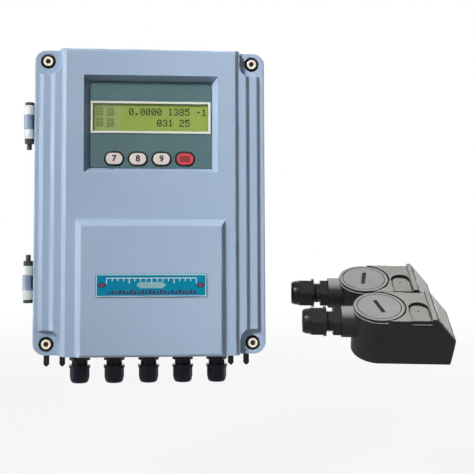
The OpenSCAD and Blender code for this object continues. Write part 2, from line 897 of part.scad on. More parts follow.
// Hollow of the lid, deeper towards the middle as the steps rise
module lid_hollow() {
    panel_in = panel_w / 2 - panel_side_slope - lid_t;
    along_y(strip_y + lid_t, joint_y + cut) hollow_outline(0);
    along_y(terrace_y + lid_t, joint_y)
        square([face_w + 2 * (step_w - step_slope_w - lid_t / 2), case_h - 2 * post_h], center = true);
    along_y(face_y + lid_t, joint_y)
        square([face_w - 2 * (step_slope_w + lid_t / 2), case_h - 2 * wall], center = true);
    along_y(panel_y + lid_t, joint_y)
        translate([-panel_in, wall - case_h / 2])
            square([2 * panel_in, panel_top_z - panel_top_slope - lid_t + case_h / 2 - wall]);
}

module window_ledge() {
    translate([0, 0, window_z]) along_y(face_y + lid_t / 2, ledge_y)
        square([window_w + 2 * lid_t, window_h + 2 * lid_t], center = true);
    for (x = [-display_hole_x, display_hole_x], z = [-display_hole_z, display_hole_z])
        translate([x, 0, window_z + z]) rod_y(small_post_r, ledge_y - ledge_t / 2, display_board_y);
}

module window_recess() {
    mouth = [window_w / 2, face_y];
    floor = [window_floor_w / 2, floor_y];
    intersection() {
        along_z(window_z - window_h, window_z + window_h) polygon([
            [-mouth.x, face_y - cut], [-mouth.x, face_y], [-floor.x, floor_y],
            [floor.x, floor_y], [mouth.x, face_y], [mouth.x, face_y - cut]]);
        along_x(-window_w, window_w) translate([0, window_z]) polygon([
            [face_y - cut, -window_h / 2], [face_y, -window_h / 2], [floor_y, -window_floor_h / 2],
            [floor_y, window_floor_h / 2], [face_y, window_h / 2], [face_y - cut, window_h / 2]]);
    }
}

// Pocket round a lid screw, whose walls lean outwards as they rise
module corner_pocket() {
    inner = [screw_x - pocket_in, screw_z - pocket_down];
    outer = [case_w / 2 + cut, case_h / 2 + cut];
    middle = [inner.x + pocket_r, inner.y + pocket_r];
    top_y = face_y - panel_rise - cut;
    lean = pocket_slope_w * (rim_y - top_y) / (2 * step_h);
    translate([middle.x, rim_y, middle.y]) rotate([90, 0, 0])
        cylinder(r1 = pocket_r, r2 = pocket_r + lean, h = rim_y - top_y);
    along_z(middle.y, outer.y) polygon([
        [outer.x, rim_y], [inner.x, rim_y], [inner.x - lean, top_y], [outer.x, top_y]]);
    along_x(middle.x, outer.x) polygon([
        [rim_y, outer.y], [rim_y, inner.y], [top_y, inner.y - lean], [top_y, outer.y]]);
}

module hinge_knuckles() {
    color(zinc) at_case() for (side = [-1, 1]) translate([hinge_x, joint_y, side * hinge_z])
        difference() {
            union() {
                rod_z(knuckle_r, -knuckle_h / 2, knuckle_h / 2);
                translate([0, -leaf_t - swing, -knuckle_h / 2]) cube([hinge_out, leaf_t, knuckle_h]);
            }
            rod_z(bolt_r + run, -knuckle_h, knuckle_h);
        }
}

// Puts a copy at each key, numbered from 0 on the left to 3 on the right
module at_key(i) {
    translate([(i - 1.5) * key_pitch - key_left, 0, key_z]) children();
}

module lid() {
    color(paint) at_case() difference() {
        union() {
            difference() {
                lid_outside();
                lid_hollow();
            }
            window_ledge();
        }
        window_recess();
        quarters() corner_pocket();
        quarters() translate([screw_x, 0, screw_z]) {
            rod_y(recess_r, rim_y - cut, rim_y + recess_d);
            rod_y(screw_r + fit, rim_y, joint_y + cut);
        }
        translate([0, 0, display_z]) along_y(floor_y - cut, ledge_y + cut)
            square([display_w + 2 * ledge_clear, display_h + 2 * ledge_clear], center = true);
        for (i = [0:3]) at_key(i) along_y(floor_y - cut, ledge_y + cut)
            polygon(stadium(key_w + 2 * key_gap, key_h + 2 * key_gap));
        for (x = [-display_hole_x, display_hole_x], z = [-display_hole_z, display_hole_z])
            translate([x, 0, window_z + z])
                rod_y(small_r + fit, display_board_y - small_len, display_board_y + cut);
    }
}

module screw_rings() {
    color(rubber) at_case() quarters() translate([screw_x, 0, screw_z]) difference() {
        rod_y(recess_r - fit, rim_y + recess_d - ring_t, rim_y + recess_d);
        rod_y(screw_r + ring_in_gap, rim_y, joint_y);
    }
}

// One lid screw at rest, its head on the rubber ring
module lid_screw(mx, mz) {
    head_y = rim_y + recess_d - ring_t;
    color(steel) at_case() mirror([mx, 0, 0]) mirror([0, 0, mz]) translate([screw_x, 0, screw_z])
        difference() {
            union() {
                rod_y(screw_head_r, head_y - screw_head_h, head_y);
                rod_y(screw_r, head_y, joint_y + screw_reach);
            }
            translate([0, head_y - screw_head_h / 2, 0]) rotate([90, 0, 0])
                hex(socket_af, screw_head_h / 2 + cut);
        }
}

// Window parts

module front_panel() {
    color([0.30, 0.42, 0.44]) at_case() difference() {
        translate([0, 0, window_z]) along_y(sheet_y, floor_y)
            square([window_floor_w - 2 * fit, window_floor_h - 2 * fit], center = true);
        translate([0, 0, display_z]) along_y(sheet_y - cut, floor_y + cut)
            square([display_w, display_h], center = true);
        for (i = [0:3]) at_key(i) along_y(sheet_y - cut, floor_y + cut)
            polygon(stadium(key_w + 2 * key_gap, key_h + 2 * key_gap));
    }
}

module display_frame() {
    color([0.86, 0.86, 0.82]) at_case() translate([0, 0, display_z]) along_y(sheet_y - frame_t, sheet_y)
        difference() {
            square([display_w + 2 * frame_w, display_h + 2 * frame_w], center = true);
            square([display_w, display_h], center = true);
        }
}

module display_window() {
    color([0.85, 0.92, 0.85, 0.4]) at_case() translate([0, 0, display_z])
        along_y(sheet_y, sheet_y + clear_t)
            square([display_w - 2 * fit, display_h - 2 * fit], center = true);
}

module display_cell() {
    color([0.60, 0.70, 0.22]) at_case() translate([0, 0, display_z])
        along_y(sheet_y + clear_t, ledge_y)
            square([display_w - 2 * fit, display_h - 2 * fit], center = true);
}

module display_module() {
    color([0.16, 0.17, 0.18]) at_case() translate([0, 0, display_z]) along_y(ledge_y, display_board_y)
        square([display_w + 2 * module_side, module_h], center = true);
}

module display_board() {
    color(board_green) at_case() translate([0, 0, window_z]) difference() {
        along_y(display_board_y, display_board_y + board_t)
            square([display_board_w, display_board_h], center = true);
        for (x = [-display_hole_x, display_hole_x], z = [-display_hole_z, display_hole_z])
            translate([x, 0, z]) rod_y(small_r + fit, display_board_y - cut, display_board_y + board_t + cut);
    }
}

module display_screws() {
    color(steel) at_case() for (x = [-display_hole_x, display_hole_x], z = [-display_hole_z, display_hole_z])
        translate([x, display_board_y + board_t, window_z + z]) mirror([0, 1, 0])
            small_screw(0, small_len);
}

module key_switches() {
    color([0.15, 0.15, 0.16]) at_case() for (i = [0:3]) at_key(i) {
        top = key_back + key_travel + switch_gap;
        along_y(top + plunger_h, switch_back) square(switch_w, center = true);
        rod_y(plunger_r, top, top + plunger_h);
    }
}

// A key with a flange behind the ledge, which keeps it in its opening
module key(i, tint) {
    top = sheet_y - key_proud;
    color(tint) at_case() at_key(i) {
        along_y(top, top + key_edge) polygon(stadium(key_w - 2 * key_edge, key_h - 2 * key_edge));
        along_y(top + key_edge, ledge_y) polygon(stadium(key_w, key_h));
        along_y(ledge_y, key_back) polygon(stadium(key_w + key_flange, key_h + key_flange));
    }
}

module name_plate() {
    color([0.10, 0.60, 0.70]) at_case() translate([0, 0, name_plate_z])
        along_y(panel_y - name_plate_t, panel_y)
            polygon(round_rect(name_plate_w, name_plate_h, plate_corner_r));
}

// Transducers, drawn about the cap's axis with the base at zero and the gland towards -X

// Puts a transducer in place: 0 is the front one and 1 the rear one
module place(i) {
    at_case() translate([probe_x, -probe_y, -probe_drop]) rotate([probe_tilt, 0, -probe_turn])
        translate([-i * pair_shift, i * (probe_w + pair_gap), 0]) children();
}

module on_boss() {
    translate([-round_r - boss_len, 0, boss_z]) rotate([0, -90, 0]) children();
}

module housing_outside() {
    foot_x = nose_x - nose_undercut;
    intersection() {
        union() {
            rod_z(round_r, 0, probe_h + lip_h);
            along_z(0, probe_h + lip_h) polygon(concat(
                [[0, round_r], [0, -round_r]],
                arc([nose_x - nose_edge_r, nose_edge_r - round_r], nose_edge_r, -90, 0),
                arc([nose_x - nose_edge_r, round_r - nose_edge_r], nose_edge_r, 0, 90)));
        }
        along_y(-round_r - cut, round_r + cut) polygon([
            [-round_r - cut, 0], [foot_x, 0], [nose_x, nose_z], [slope_top_x, probe_h + lip_h],
            [lip_x, probe_h + lip_h], [lip_x, probe_h], [-round_r - cut, probe_h]]);
    }
    on_boss() rod_z(boss_r, -boss_len - round_r + chamber_r, 0);
}

module strap_pocket() {
    along_z(probe_h - strap_d, probe_h + cut) {
        translate([strap_x, strap_y]) circle(r = strap_r);
        translate([strap_x - strap_r, strap_wall - round_r])
            square([2 * strap_r, round_r - strap_wall + strap_y]);
    }
    translate([strap_x, strap_y, 0])
        rod_z(strap_hole_r, probe_h - strap_d - strap_hole_d, probe_h);
    for (side = [-1, 1]) translate([strap_x - strap_r, side * round_r - notch_d, probe_h - strap_d])
        cube([lip_x - strap_x + strap_r, 2 * notch_d, strap_d + cut]);
}

module housing() {
    color(housing_grey) difference() {
        housing_outside();
        rod_z(seat_r, seat_z, probe_h + lip_h + cut);
        rod_z(skirt_r + run, mouth_z, seat_z + cut);
        rod_z(chamber_r, terminals_z, mouth_z + cut);
        rod_z(chamber_floor_r, chamber_z, terminals_z + cut);
        on_boss() rod_z(thread_r(probe_gland) + fit, -boss_len - round_r + chamber_floor_r - cut, cut);
        strap_pocket();
        translate([wedge_from - fit, -wedge_half - fit, -cut])
            cube([wedge_to - wedge_from + 2 * fit, 2 * (wedge_half + fit), wedge_top + fit + cut]);
        rod_z(wire_r, wedge_top, chamber_z + cut);
    }
}

module wedge() {
    color([0.72, 0.62, 0.45]) along_y(-wedge_half, wedge_half) polygon([
        [wedge_from, 0], [wedge_to, 0], [wedge_to, wedge_low], [wedge_crest, wedge_top],
        [wedge_from, wedge_top]]);
}

module crystal() {
    lean = atan2(wedge_top - wedge_low, wedge_to - wedge_crest);
    color([0.85, 0.82, 0.70])
        translate([(wedge_crest + wedge_to) / 2, 0, (wedge_top + wedge_low) / 2]) rotate([0, lean, 0])
            cylinder(r = crystal_r, h = crystal_t);
}

module terminals() {
    color(board_green) {
        rod_z(probe_board_r, terminals_z, terminals_z + board_t);
        translate([-probe_block_w / 2, -probe_block_d / 2, terminals_z + board_t])
            cube([probe_block_w, probe_block_d, probe_block_h]);
    }
}

module cap_seal() {
    color(rubber) difference() {
        rod_z(cap_r - 2 * cap_chamfer, seat_z, seat_z + cap_seal_t - seal_gap);
        rod_z(skirt_r + run, seat_z - cut, seat_z + cap_seal_t + cut);
    }
}

module cap(turn) {
    low = seat_z + cap_seal_t;
    color(housing_grey) difference() {
        rotate_extrude() polygon([
            [0, low - cut], [skirt_r - skirt_wall, low - cut], [skirt_r - skirt_wall, seat_z - skirt_h],
            [skirt_r, seat_z - skirt_h], [skirt_r, low], [cap_r, low],
            [cap_r, cap_top - cap_chamfer], [cap_r - cap_chamfer, cap_top],
            [cap_ring_r + cap_groove_w, cap_top], [cap_ring_r + cap_groove_w, cap_top - cap_groove_d],
            [cap_ring_r, cap_top - cap_groove_d], [cap_ring_r, cap_top], [0, cap_top]]);
        translate([0, 0, cap_top - coin_d]) rotate(turn) translate([-coin_len / 2, -coin_w / 2, 0])
            cube([coin_len, coin_w, coin_d + cut]);
    }
}

module probe_gland_body() {
    color(plastic) on_boss() gland_body(probe_gland, boss_len + round_r - skirt_r - swing);
}

module probe_gland_nut() {
    color(plastic) on_boss() gland_nut(probe_gland);
}

module probe_gland_seal() {
    color(rubber) on_boss() gland_seal(probe_gland);
}

// A thin plate on the slope of the nose
module label() {
    lean = atan2(probe_h + lip_h - nose_z, nose_run);
    color([0.85, 0.72, 0.70])
        translate([nose_x - nose_run / 2, 0, (probe_h + lip_h + nose_z) / 2]) rotate([0, lean, 0])
            along_z(0, label_t) square([label_len, label_w], center = true);
}

case();
case_gasket();
hinge_arms();
wall_brackets();
mounting_plate();
fixing_screws();
main_board();
board_spacers();
terminal_block();
power_module();
gland_bodies();
gland_seals();
gland_locknuts();
case_gland_nut(-2);  // gland_nut_1
case_gland_nut(-1);  // gland_nut_2
case_gland_nut(0);  // gland_nut_3
case_gland_nut(1);  // gland_nut_4
case_gland_nut(2);  // gland_nut_5
hinge_bolts();
hinge_nuts();
lid();
hinge_knuckles();
screw_rings();
front_panel();
display_frame();
display_window();
display_cell();
display_module();
display_board();
display_screws();
key_switches();
name_plate();
key(0, "ivory");  // key_1
key(1, "ivory");  // key_2
key(2, "ivory");  // key_3
key(3, [0.80, 0.16, 0.20]);  // key_4
lid_screw(1, 0);  // lid_screw_1
lid_screw(0, 0);  // lid_screw_2
lid_screw(1, 1);  // lid_screw_3
lid_screw(0, 1);  // lid_screw_4
place(0) housing();  // front_housing
place(0) cap(front_coin_turn);  // front_cap
place(0) cap_seal();  // front_cap_seal
place(0) wedge();  // front_wedge
place(0) crystal();  // front_crystal
place(0) terminals();  // front_terminals
place(0) probe_gland_body();  // front_gland
place(0) probe_gland_nut();  // front_gland_nut
place(0) probe_gland_seal();  // front_gland_seal
place(0) label();  // front_label
place(1) housing();  // rear_housing
place(1) cap(rear_coin_turn);  // rear_cap
place(1) cap_seal();  // rear_cap_seal
place(1) wedge();  // rear_wedge
place(1) crystal();  // rear_crystal
place(1) terminals();  // rear_terminals
place(1) probe_gland_body();  // rear_gland
place(1) probe_gland_nut();  // rear_gland_nut
place(1) probe_gland_seal();  // rear_gland_seal
place(1) label();  // rear_label
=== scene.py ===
import math

import bmesh
import bpy
from mathutils import Matrix, Vector


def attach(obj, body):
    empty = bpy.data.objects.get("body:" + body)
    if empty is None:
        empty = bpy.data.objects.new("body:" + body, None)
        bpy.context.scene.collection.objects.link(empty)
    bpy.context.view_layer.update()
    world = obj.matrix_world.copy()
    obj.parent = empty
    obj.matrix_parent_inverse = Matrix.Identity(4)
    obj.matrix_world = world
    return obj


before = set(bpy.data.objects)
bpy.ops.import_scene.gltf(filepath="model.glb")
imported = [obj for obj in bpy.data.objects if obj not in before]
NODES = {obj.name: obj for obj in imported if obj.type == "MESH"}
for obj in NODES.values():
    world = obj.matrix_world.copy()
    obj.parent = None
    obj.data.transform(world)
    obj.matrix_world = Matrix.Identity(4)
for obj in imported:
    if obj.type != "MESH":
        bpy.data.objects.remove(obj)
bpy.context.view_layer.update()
MM = 0.001

# Sizes and places repeated from part.scad, in millimetres, with X to the right, Y into the wall and Z up

# Case and lid
CASE_W = 192.0
CASE_H = 251.0
CASE_Z = -96.0
CASE_INSET = 1.0
JOINT_Y = -60.0
FACE_Y = -84.0
PANEL_RISE = 6.0
SCREW_SIDE = 11.0
SCREW_END = 9.0
SOCKET_Y = -70.2
SOCKET_AF = 4.0

# Hinges
HINGE_OUT = 5.2
HINGE_Z = 67.0
KNUCKLE_H = 12.0
ARM_GAP = 0.2
ARM_H = 7.8
BOLT_R = 2.0
BOLT_NUT_H = 4.2

# Window, display, keys and name plate
WINDOW_RISE = 63.5
WINDOW_DEPTH = 8.0
SHEET_T = 1.2
DISPLAY_RISE = 6.1
KEY_DROP = 28.3
KEY_LEFT = 1.0
KEY_PITCH = 19.5
KEY_W = 15.8
KEY_H = 11.4
KEY_PROUD = 1.0
NAME_PLATE_DROP = 68.1
NAME_PLATE_T = 0.8

# Case glands
GLAND_COUNT = 5
GLAND_SIDE = 36.8
GLAND_Y = -36.0
GLAND_HEX_H = 10.0
GLAND_NECK_D = 12.2
GLAND_GAP = 4.0

# Transducers, measured from the axis of the cap
SIDES = ("front", "rear")
PROBE_PLACE = Vector((193.0, -62.0, CASE_Z - 123.0))
PROBE_TILT = math.radians(29.5)
PROBE_TURN = math.radians(-11.0)
PROBE_W = 43.2
PROBE_H = 42.2
PAIR_GAP = 0.6
PAIR_SHIFT = 8.2
BOSS_LEN = 9.0
BOSS_Z = 26.6
PROBE_HEX_H = 7.0
PROBE_NECK_D = 16.0
COIN_LEN = 18.4
COIN_W = 3.0
COIN_D = 1.1
COIN_TURNS = (math.radians(-73), math.radians(-100))
GROOVE_INNER_R = 17.62
GROOVE_OUTER_R = 18.08

# Places that follow from them
BOTTOM_Z = CASE_Z - CASE_H / 2 + CASE_INSET
SCREW_X = CASE_W / 2 - SCREW_SIDE
SCREW_Z = CASE_H / 2 - SCREW_END
HINGE_X = -(CASE_W / 2 + HINGE_OUT)
HINGE_HALF = KNUCKLE_H / 2 + ARM_GAP + ARM_H
CELL_Y = FACE_Y + WINDOW_DEPTH
KEY_TOP = CELL_Y - SHEET_T - KEY_PROUD
WINDOW_Z = CASE_Z + WINDOW_RISE
DISPLAY_Z = WINDOW_Z + DISPLAY_RISE
KEY_Z = WINDOW_Z - KEY_DROP
PLATE_Y = FACE_Y - PANEL_RISE - NAME_PLATE_T
PLATE_Z = CASE_Z - NAME_PLATE_DROP
GLAND_PITCH = (CASE_W / 2 - GLAND_SIDE) / 2
PROBE_STEP = PROBE_W + PAIR_GAP
PROBE_NUT_X = -(PROBE_W / 2 + BOSS_LEN + PROBE_HEX_H)
PROBE_WAY = Matrix.Rotation(PROBE_TURN, 3, "Z") @ Matrix.Rotation(PROBE_TILT, 3, "X")
CAP_AXIS = PROBE_WAY @ Vector((0.0, 0.0, 1.0))


# Materials

def srgb(r, g, b):
    """A colour given as 0 to 255 steps of the screen, as the linear value that shaders use."""
    out = []
    for c in (r, g, b):
        c = c / 255.0
        out.append(c / 12.92 if c <= 0.04045 else ((c + 0.055) / 1.055) ** 2.4)
    return (*out, 1.0)


def toned(tone, factor, lift=0.0):
    """A tone made darker or lighter by a factor, and lifted a little."""
    return (*(min(1.0, c * factor + lift) for c in tone[:3]), 1.0)


# Places of the colour sockets among those of Blender's Mix node
MIX_A = 6
MIX_B = 7
MIX_RESULT = 2

# Cosines between the shading and the true face, where the rounding of an edge starts and is full
BENT_FROM = 0.9995
BENT_FULL = 0.992

# Cosines between a face and a transducer's cap axis, where the painted top light starts and is full
PAINTED_TOP_LIGHT_FROM = 0.72
PAINTED_TOP_LIGHT_FULL = 0.97


class Shader:
    """A node material round one Principled shader, built up step by step."""

    def __init__(self, name, rough=0.5, metallic=0.0, **sockets):
        self.material = bpy.data.materials.new(name)
        self.material.use_nodes = True
        self.tree = self.material.node_tree
        self.surface = self.tree.nodes["Principled BSDF"]
        self.surface.inputs["Roughness"].default_value = rough
        self.surface.inputs["Metallic"].default_value = metallic
        for key, value in sockets.items():
            self.surface.inputs[key.replace("_", " ")].default_value = value
        self.coord = self.node("ShaderNodeTexCoord").outputs["Object"]

    def node(self, kind, **props):
        made = self.tree.nodes.new(kind)
        for key, value in props.items():
            setattr(made, key, value)
        return made

    def feed(self, socket, value):
        """Links another node's output to a socket, or writes a plain value there."""
        if isinstance(value, bpy.types.NodeSocket):
            self.tree.links.new(value, socket)
        else:
            socket.default_value = value

    def noise(self, scale, detail=3.0, rough=0.55):
        """Cloudy noise, whose clouds are about 1 / scale metres wide."""
        made = self.node("ShaderNodeTexNoise")
        for key, number in (("Scale", scale), ("Detail", detail), ("Roughness", rough)):
            made.inputs[key].default_value = number
        self.feed(made.inputs["Vector"], self.coord)
        return made.outputs["Fac"]

    def ramp(self, value, low, high, a=0.0, b=1.0):
        """Maps the stretch of a value from low to high onto a to b, and holds the ends outside it."""
        made = self.node("ShaderNodeMapRange")
        for key, number in (("From Min", low), ("From Max", high), ("To Min", a), ("To Max", b)):
            made.inputs[key].default_value = number
        self.feed(made.inputs["Value"], value)
        return made.outputs["Result"]

    def mix(self, factor, a, b):
        """A colour between a and b, each a colour or another node's output."""
        made = self.node("ShaderNodeMix", data_type="RGBA")
        self.feed(made.inputs["Factor"], factor)
        self.feed(made.inputs[MIX_A], a)
        self.feed(made.inputs[MIX_B], b)
        return made.outputs[MIX_RESULT]

    def math(self, kind, *values):
        made = self.node("ShaderNodeMath", operation=kind)
        for socket, value in zip(made.inputs, values):
            self.feed(socket, value)
        return made.outputs[0]

    def dot(self, a, b):
        made = self.node("ShaderNodeVectorMath", operation="DOT_PRODUCT")
        self.feed(made.inputs[0], a)
        self.feed(made.inputs[1], b)
        return made.outputs["Value"]

    def axis(self, letter):
        split = self.node("ShaderNodeSeparateXYZ")
        self.feed(split.inputs[0], self.coord)
        return split.outputs[letter]

    def edges(self, low=0.52, high=0.62):
        """Near 1 on the rounding of outward edges, and 0 where the shading follows a flat face."""
        shape = self.node("ShaderNodeNewGeometry")
        along = self.dot(shape.outputs["Normal"], shape.outputs["True Normal"])
        bent = self.ramp(along, BENT_FROM, BENT_FULL)
        return self.math("MULTIPLY", bent, self.ramp(shape.outputs["Pointiness"], low, high))

    def colour(self, value):
        self.feed(self.surface.inputs["Base Color"], value)

    def roughness(self, value):
        self.feed(self.surface.inputs["Roughness"], value)

    def bump(self, height, strength, distance=0.0002):
        """Adds a relief, up to distance metres deep, to those that are there."""
        made = self.node("ShaderNodeBump")
        made.inputs["Strength"].default_value = strength
        made.inputs["Distance"].default_value = distance
        self.feed(made.inputs["Height"], height)
        last = self.surface.inputs["Normal"]
        if last.is_linked:
            self.feed(made.inputs["Normal"], last.links[0].from_socket)
        self.feed(last, made.outputs["Normal"])


def moulded(name, tone, rough, vary=0.12, grain=900.0, strength=0.12, edge=0.25, top=None, **sockets):
    """Plastic or rubber with a fine spark-eroded grain and cloudy tone, and a paler tone on its edges,
    partly polish and partly a painted highlight on their rounding.
    With top, the faces that look along a transducer's cap axis take that tone in patches, a painted light
    on the faces turned up towards the lamps."""
    shader = Shader(name, rough, **sockets)
    dark = toned(tone, 1 - vary)
    light = toned(tone, 1 + vary, 0.002)
    # Edges take a paler tone, partly polish and partly a painted highlight on their rounding
    wear_and_highlight = toned(tone, 1 + edge, 0.02 * edge)
    cloud = shader.mix(shader.ramp(shader.noise(45.0, detail=4.0), 0.3, 0.7), dark, light)
    colour = shader.mix(shader.edges(), cloud, wear_and_highlight)
    # Painted light: faces along a transducer's cap axis turn towards the pale top tone, as if lit from
    # above
    if top:
        normal = shader.node("ShaderNodeTexCoord").outputs["Normal"]
        painted_light_facing = shader.ramp(shader.dot(normal, CAP_AXIS), PAINTED_TOP_LIGHT_FROM, PAINTED_TOP_LIGHT_FULL)
        patchy = shader.ramp(shader.noise(70.0, detail=4.0), 0.25, 0.75, 0.82, 1.0)
        colour = shader.mix(shader.math("MULTIPLY", painted_light_facing, patchy), colour, top)
    shader.colour(colour)
    shader.roughness(shader.ramp(shader.noise(120.0), 0.3, 0.7, rough - 0.06, rough + 0.07))
    shader.bump(shader.noise(grain, detail=2.0, rough=0.5), strength, distance=0.00012)
    return shader


def metal(name, tone, rough):
    """Bare or plated metal with a fine grain and clouded tarnish."""
    shader = Shader(name, rough, metallic=1.0)
    tarnish = shader.ramp(shader.noise(160.0, detail=5.0, rough=0.6), 0.35, 0.75)
    shader.colour(shader.mix(tarnish, tone, toned(tone, 0.90)))
    shader.roughness(shader.ramp(shader.noise(400.0, detail=2.0), 0.3, 0.7, rough - 0.08, rough + 0.10))
    shader.bump(shader.noise(700.0, detail=2.0, rough=0.5), 0.08, distance=0.0001)
    return shader


PAINT = srgb(152, 171, 195)
PAINT_LIGHT = srgb(159, 178, 201)
# A pale tone for flecks, for thin paint on the edges and for a painted highlight on their rounding
PAINT_WEAR_AND_HIGHLIGHT = srgb(190, 206, 222)


def paint(name):
    """Textured enamel on the castings: a faint orange peel, cloudy tone, pale flecks, and a paler tone
    along the edges, partly thin paint there and partly a painted highlight on their rounding.
    """
    shader = Shader(name, 0.36, Coat_Weight=0.35, Coat_Roughness=0.10, Specular_IOR_Level=0.25)
    cloud = shader.mix(shader.ramp(shader.noise(9.0), 0.35, 0.7), PAINT, PAINT_LIGHT)
    speck = shader.ramp(shader.noise(1500.0, detail=1.0), 0.62, 0.75, 0.0, 0.20)
    tone = shader.mix(speck, cloud, PAINT_WEAR_AND_HIGHLIGHT)
    # Edges turn towards the pale tone, partly thin paint and partly a painted highlight on their rounding
    shader.colour(shader.mix(shader.math("MULTIPLY", shader.edges(high=0.60), 0.75), tone, PAINT_WEAR_AND_HIGHLIGHT))
    shader.roughness(shader.ramp(shader.noise(60.0), 0.3, 0.7, 0.30, 0.42))
    shader.bump(shader.noise(330.0, rough=0.5), 0.14, distance=0.00018)
    shader.bump(shader.noise(1400.0, detail=1.0, rough=0.5), 0.08, distance=0.00006)
    return shader


# The stretch, right of a hinge's axis, over which its plated barrel turns into the painted shade on its
# leaf, near black, which stands for the barrel's shadow
LEAF_SHADE_FROM = 2.6
LEAF_SHADE_TO = 3.2


def hinge_material():
    """The round barrels are plated blue-grey, and the leaves that carry them are painted near black, a
    painted shade for the barrel's shadow on them.
    """
    shader = Shader("hinge_blue", 0.24, metallic=0.35)
    cloud = shader.ramp(shader.noise(140.0, detail=4.0), 0.3, 0.7)
    barrel = shader.mix(cloud, srgb(118, 133, 156), srgb(134, 149, 172))
    # Painted shade: the leaf right of the barrel turns near black, standing for the barrel's shadow
    leaf_shade = shader.ramp(shader.axis("X"), (HINGE_X + LEAF_SHADE_FROM) * MM, (HINGE_X + LEAF_SHADE_TO) * MM)
    shader.colour(shader.mix(leaf_shade, barrel, srgb(22, 24, 30)))
    shader.bump(shader.noise(900.0, detail=2.0, rough=0.5), 0.08, distance=0.0001)
    return shader


# Character fields of the display, and where its tone changes, in millimetres from its middle
FIELDS = 20
FIELD_W = 4.65
FIELD_H = 9.2
GREY_FULL_X = -30.0
GREY_END_X = -22.0
DARK_START_X = 40.0
DARK_FULL_X = 48.0
GRID_START = -0.5


def cell_material():
    """The lit liquid crystal cell: yellow-green, greyer at its left, with a faint grid of fields."""
    shader = Shader("cell_green", 0.30, Specular_IOR_Level=0.2, Emission_Color=srgb(150, 170, 60),
                    Emission_Strength=0.05)
    x = shader.axis("X")
    z = shader.axis("Z")
    left = shader.ramp(x, GREY_FULL_X * MM, GREY_END_X * MM, 1.0, 0.0)
    tone = shader.mix(left, srgb(138, 157, 64), srgb(146, 158, 104))
    ends = shader.ramp(shader.math("ABSOLUTE", x), DARK_START_X * MM, DARK_FULL_X * MM, 0.0, 0.35)
    tone = shader.mix(ends, tone, srgb(120, 138, 50))
    from_left = shader.math("ADD", x, -GRID_START)
    from_below = shader.math("ADD", z, -GRID_START - DISPLAY_Z * MM)
    across = shader.math("PINGPONG", from_left, FIELD_W * MM / 2)
    up = shader.math("PINGPONG", from_below, FIELD_H * MM / 2)
    inside = shader.math("MULTIPLY", shader.ramp(across, 0.0003, 0.0005), shader.ramp(up, 0.0006, 0.0009))
    tone = shader.mix(shader.math("MULTIPLY", inside, 0.16), tone, srgb(92, 112, 44))
    shader.colour(shader.mix(shader.math("MULTIPLY", shader.noise(30.0), 0.25), tone, srgb(168, 182, 84)))
    return shader


def clear_material():
    shader = Shader("window_clear", 0.06, Base_Color=srgb(210, 220, 190), Alpha=0.05,
                    Specular_IOR_Level=0.5)
    shader.bump(shader.noise(25.0), 0.02)
    return shader


# Paint, metal and case plastics
CASE_PAINT = paint("case_paint")
HINGE_PALE = moulded("hinge_pale", srgb(226, 230, 228), 0.34, vary=0.05, edge=0.2)
HINGE_BLUE = hinge_material()
ZINC = metal("zinc_steel", srgb(186, 188, 190), 0.36)
DARK_STEEL = metal("dark_steel", srgb(70, 70, 74), 0.30)
SCREW_STEEL = metal("screw_steel", srgb(244, 232, 212), 0.24)
BRASS = metal("brass", srgb(196, 160, 88), 0.34)
BRACKET = moulded("bracket_black", srgb(16, 16, 19), 0.40, edge=2.0, strength=0.2, Specular_IOR_Level=0.25)
BLACK_PLASTIC = moulded("black_plastic", srgb(32, 30, 42), 0.38, edge=1.2, Specular_IOR_Level=0.14)
NUT_PLASTIC = moulded("nut_plastic", srgb(34, 31, 46), 0.34, edge=1.4, Specular_IOR_Level=0.14)
RUBBER = moulded("seal_rubber", srgb(16, 16, 17), 0.62, edge=0.8, Specular_IOR_Level=0.25)

# Transducers
PROBE_PLASTIC = moulded("probe_plastic", srgb(23, 23, 24), 0.34, edge=1.2, Specular_IOR_Level=0.16)
# The housings and caps take a painted light, a pale top tone on their faces along the cap axis
HOUSING = moulded("housing_plastic", srgb(24, 24, 24), 0.50, grain=1300.0, strength=0.22, edge=0.8,
                  top=srgb(136, 136, 132), Specular_IOR_Level=0.18)
CAP_PLASTIC = moulded("cap_plastic", srgb(26, 26, 26), 0.48, grain=1300.0, strength=0.18, edge=0.8,
                      top=srgb(138, 137, 135), Specular_IOR_Level=0.18)
WEDGE = moulded("wedge_amber", srgb(168, 132, 84), 0.35, vary=0.10)
CRYSTAL = moulded("crystal_cream", srgb(214, 208, 182), 0.4)
LABEL = moulded("label_grey", srgb(182, 180, 176), 0.6, vary=0.05, edge=0.1)

# Front panel, display and keys
SHEET = moulded("panel_sheet", srgb(76, 102, 106), 0.45, vary=0.05, grain=2200.0, strength=0.10, edge=0.2,
                Specular_IOR_Level=0.35)
FRAME_WHITE = moulded("frame_white", srgb(208, 212, 198), 0.45, vary=0.03, edge=0.05)
CELL = cell_material()
CLEAR = clear_material()
LCD_INK = moulded("display_ink", srgb(34, 48, 26), 0.5, vary=0.04, Specular_IOR_Level=0.05)
LCD_FAINT = moulded("display_faint", srgb(98, 112, 66), 0.5, vary=0.04, Specular_IOR_Level=0.05)
KEY_BLACK = moulded("key_black", srgb(20, 22, 26), 0.5, Specular_IOR_Level=0.3)
IVORY = moulded("key_ivory", srgb(209, 199, 192), 0.5, vary=0.03, edge=0.05)
RED = moulded("key_red", srgb(198, 58, 70), 0.45, vary=0.05, edge=0.1)
INK = moulded("dark_ink", srgb(34, 32, 38), 0.6, vary=0.04, Specular_IOR_Level=0.2)

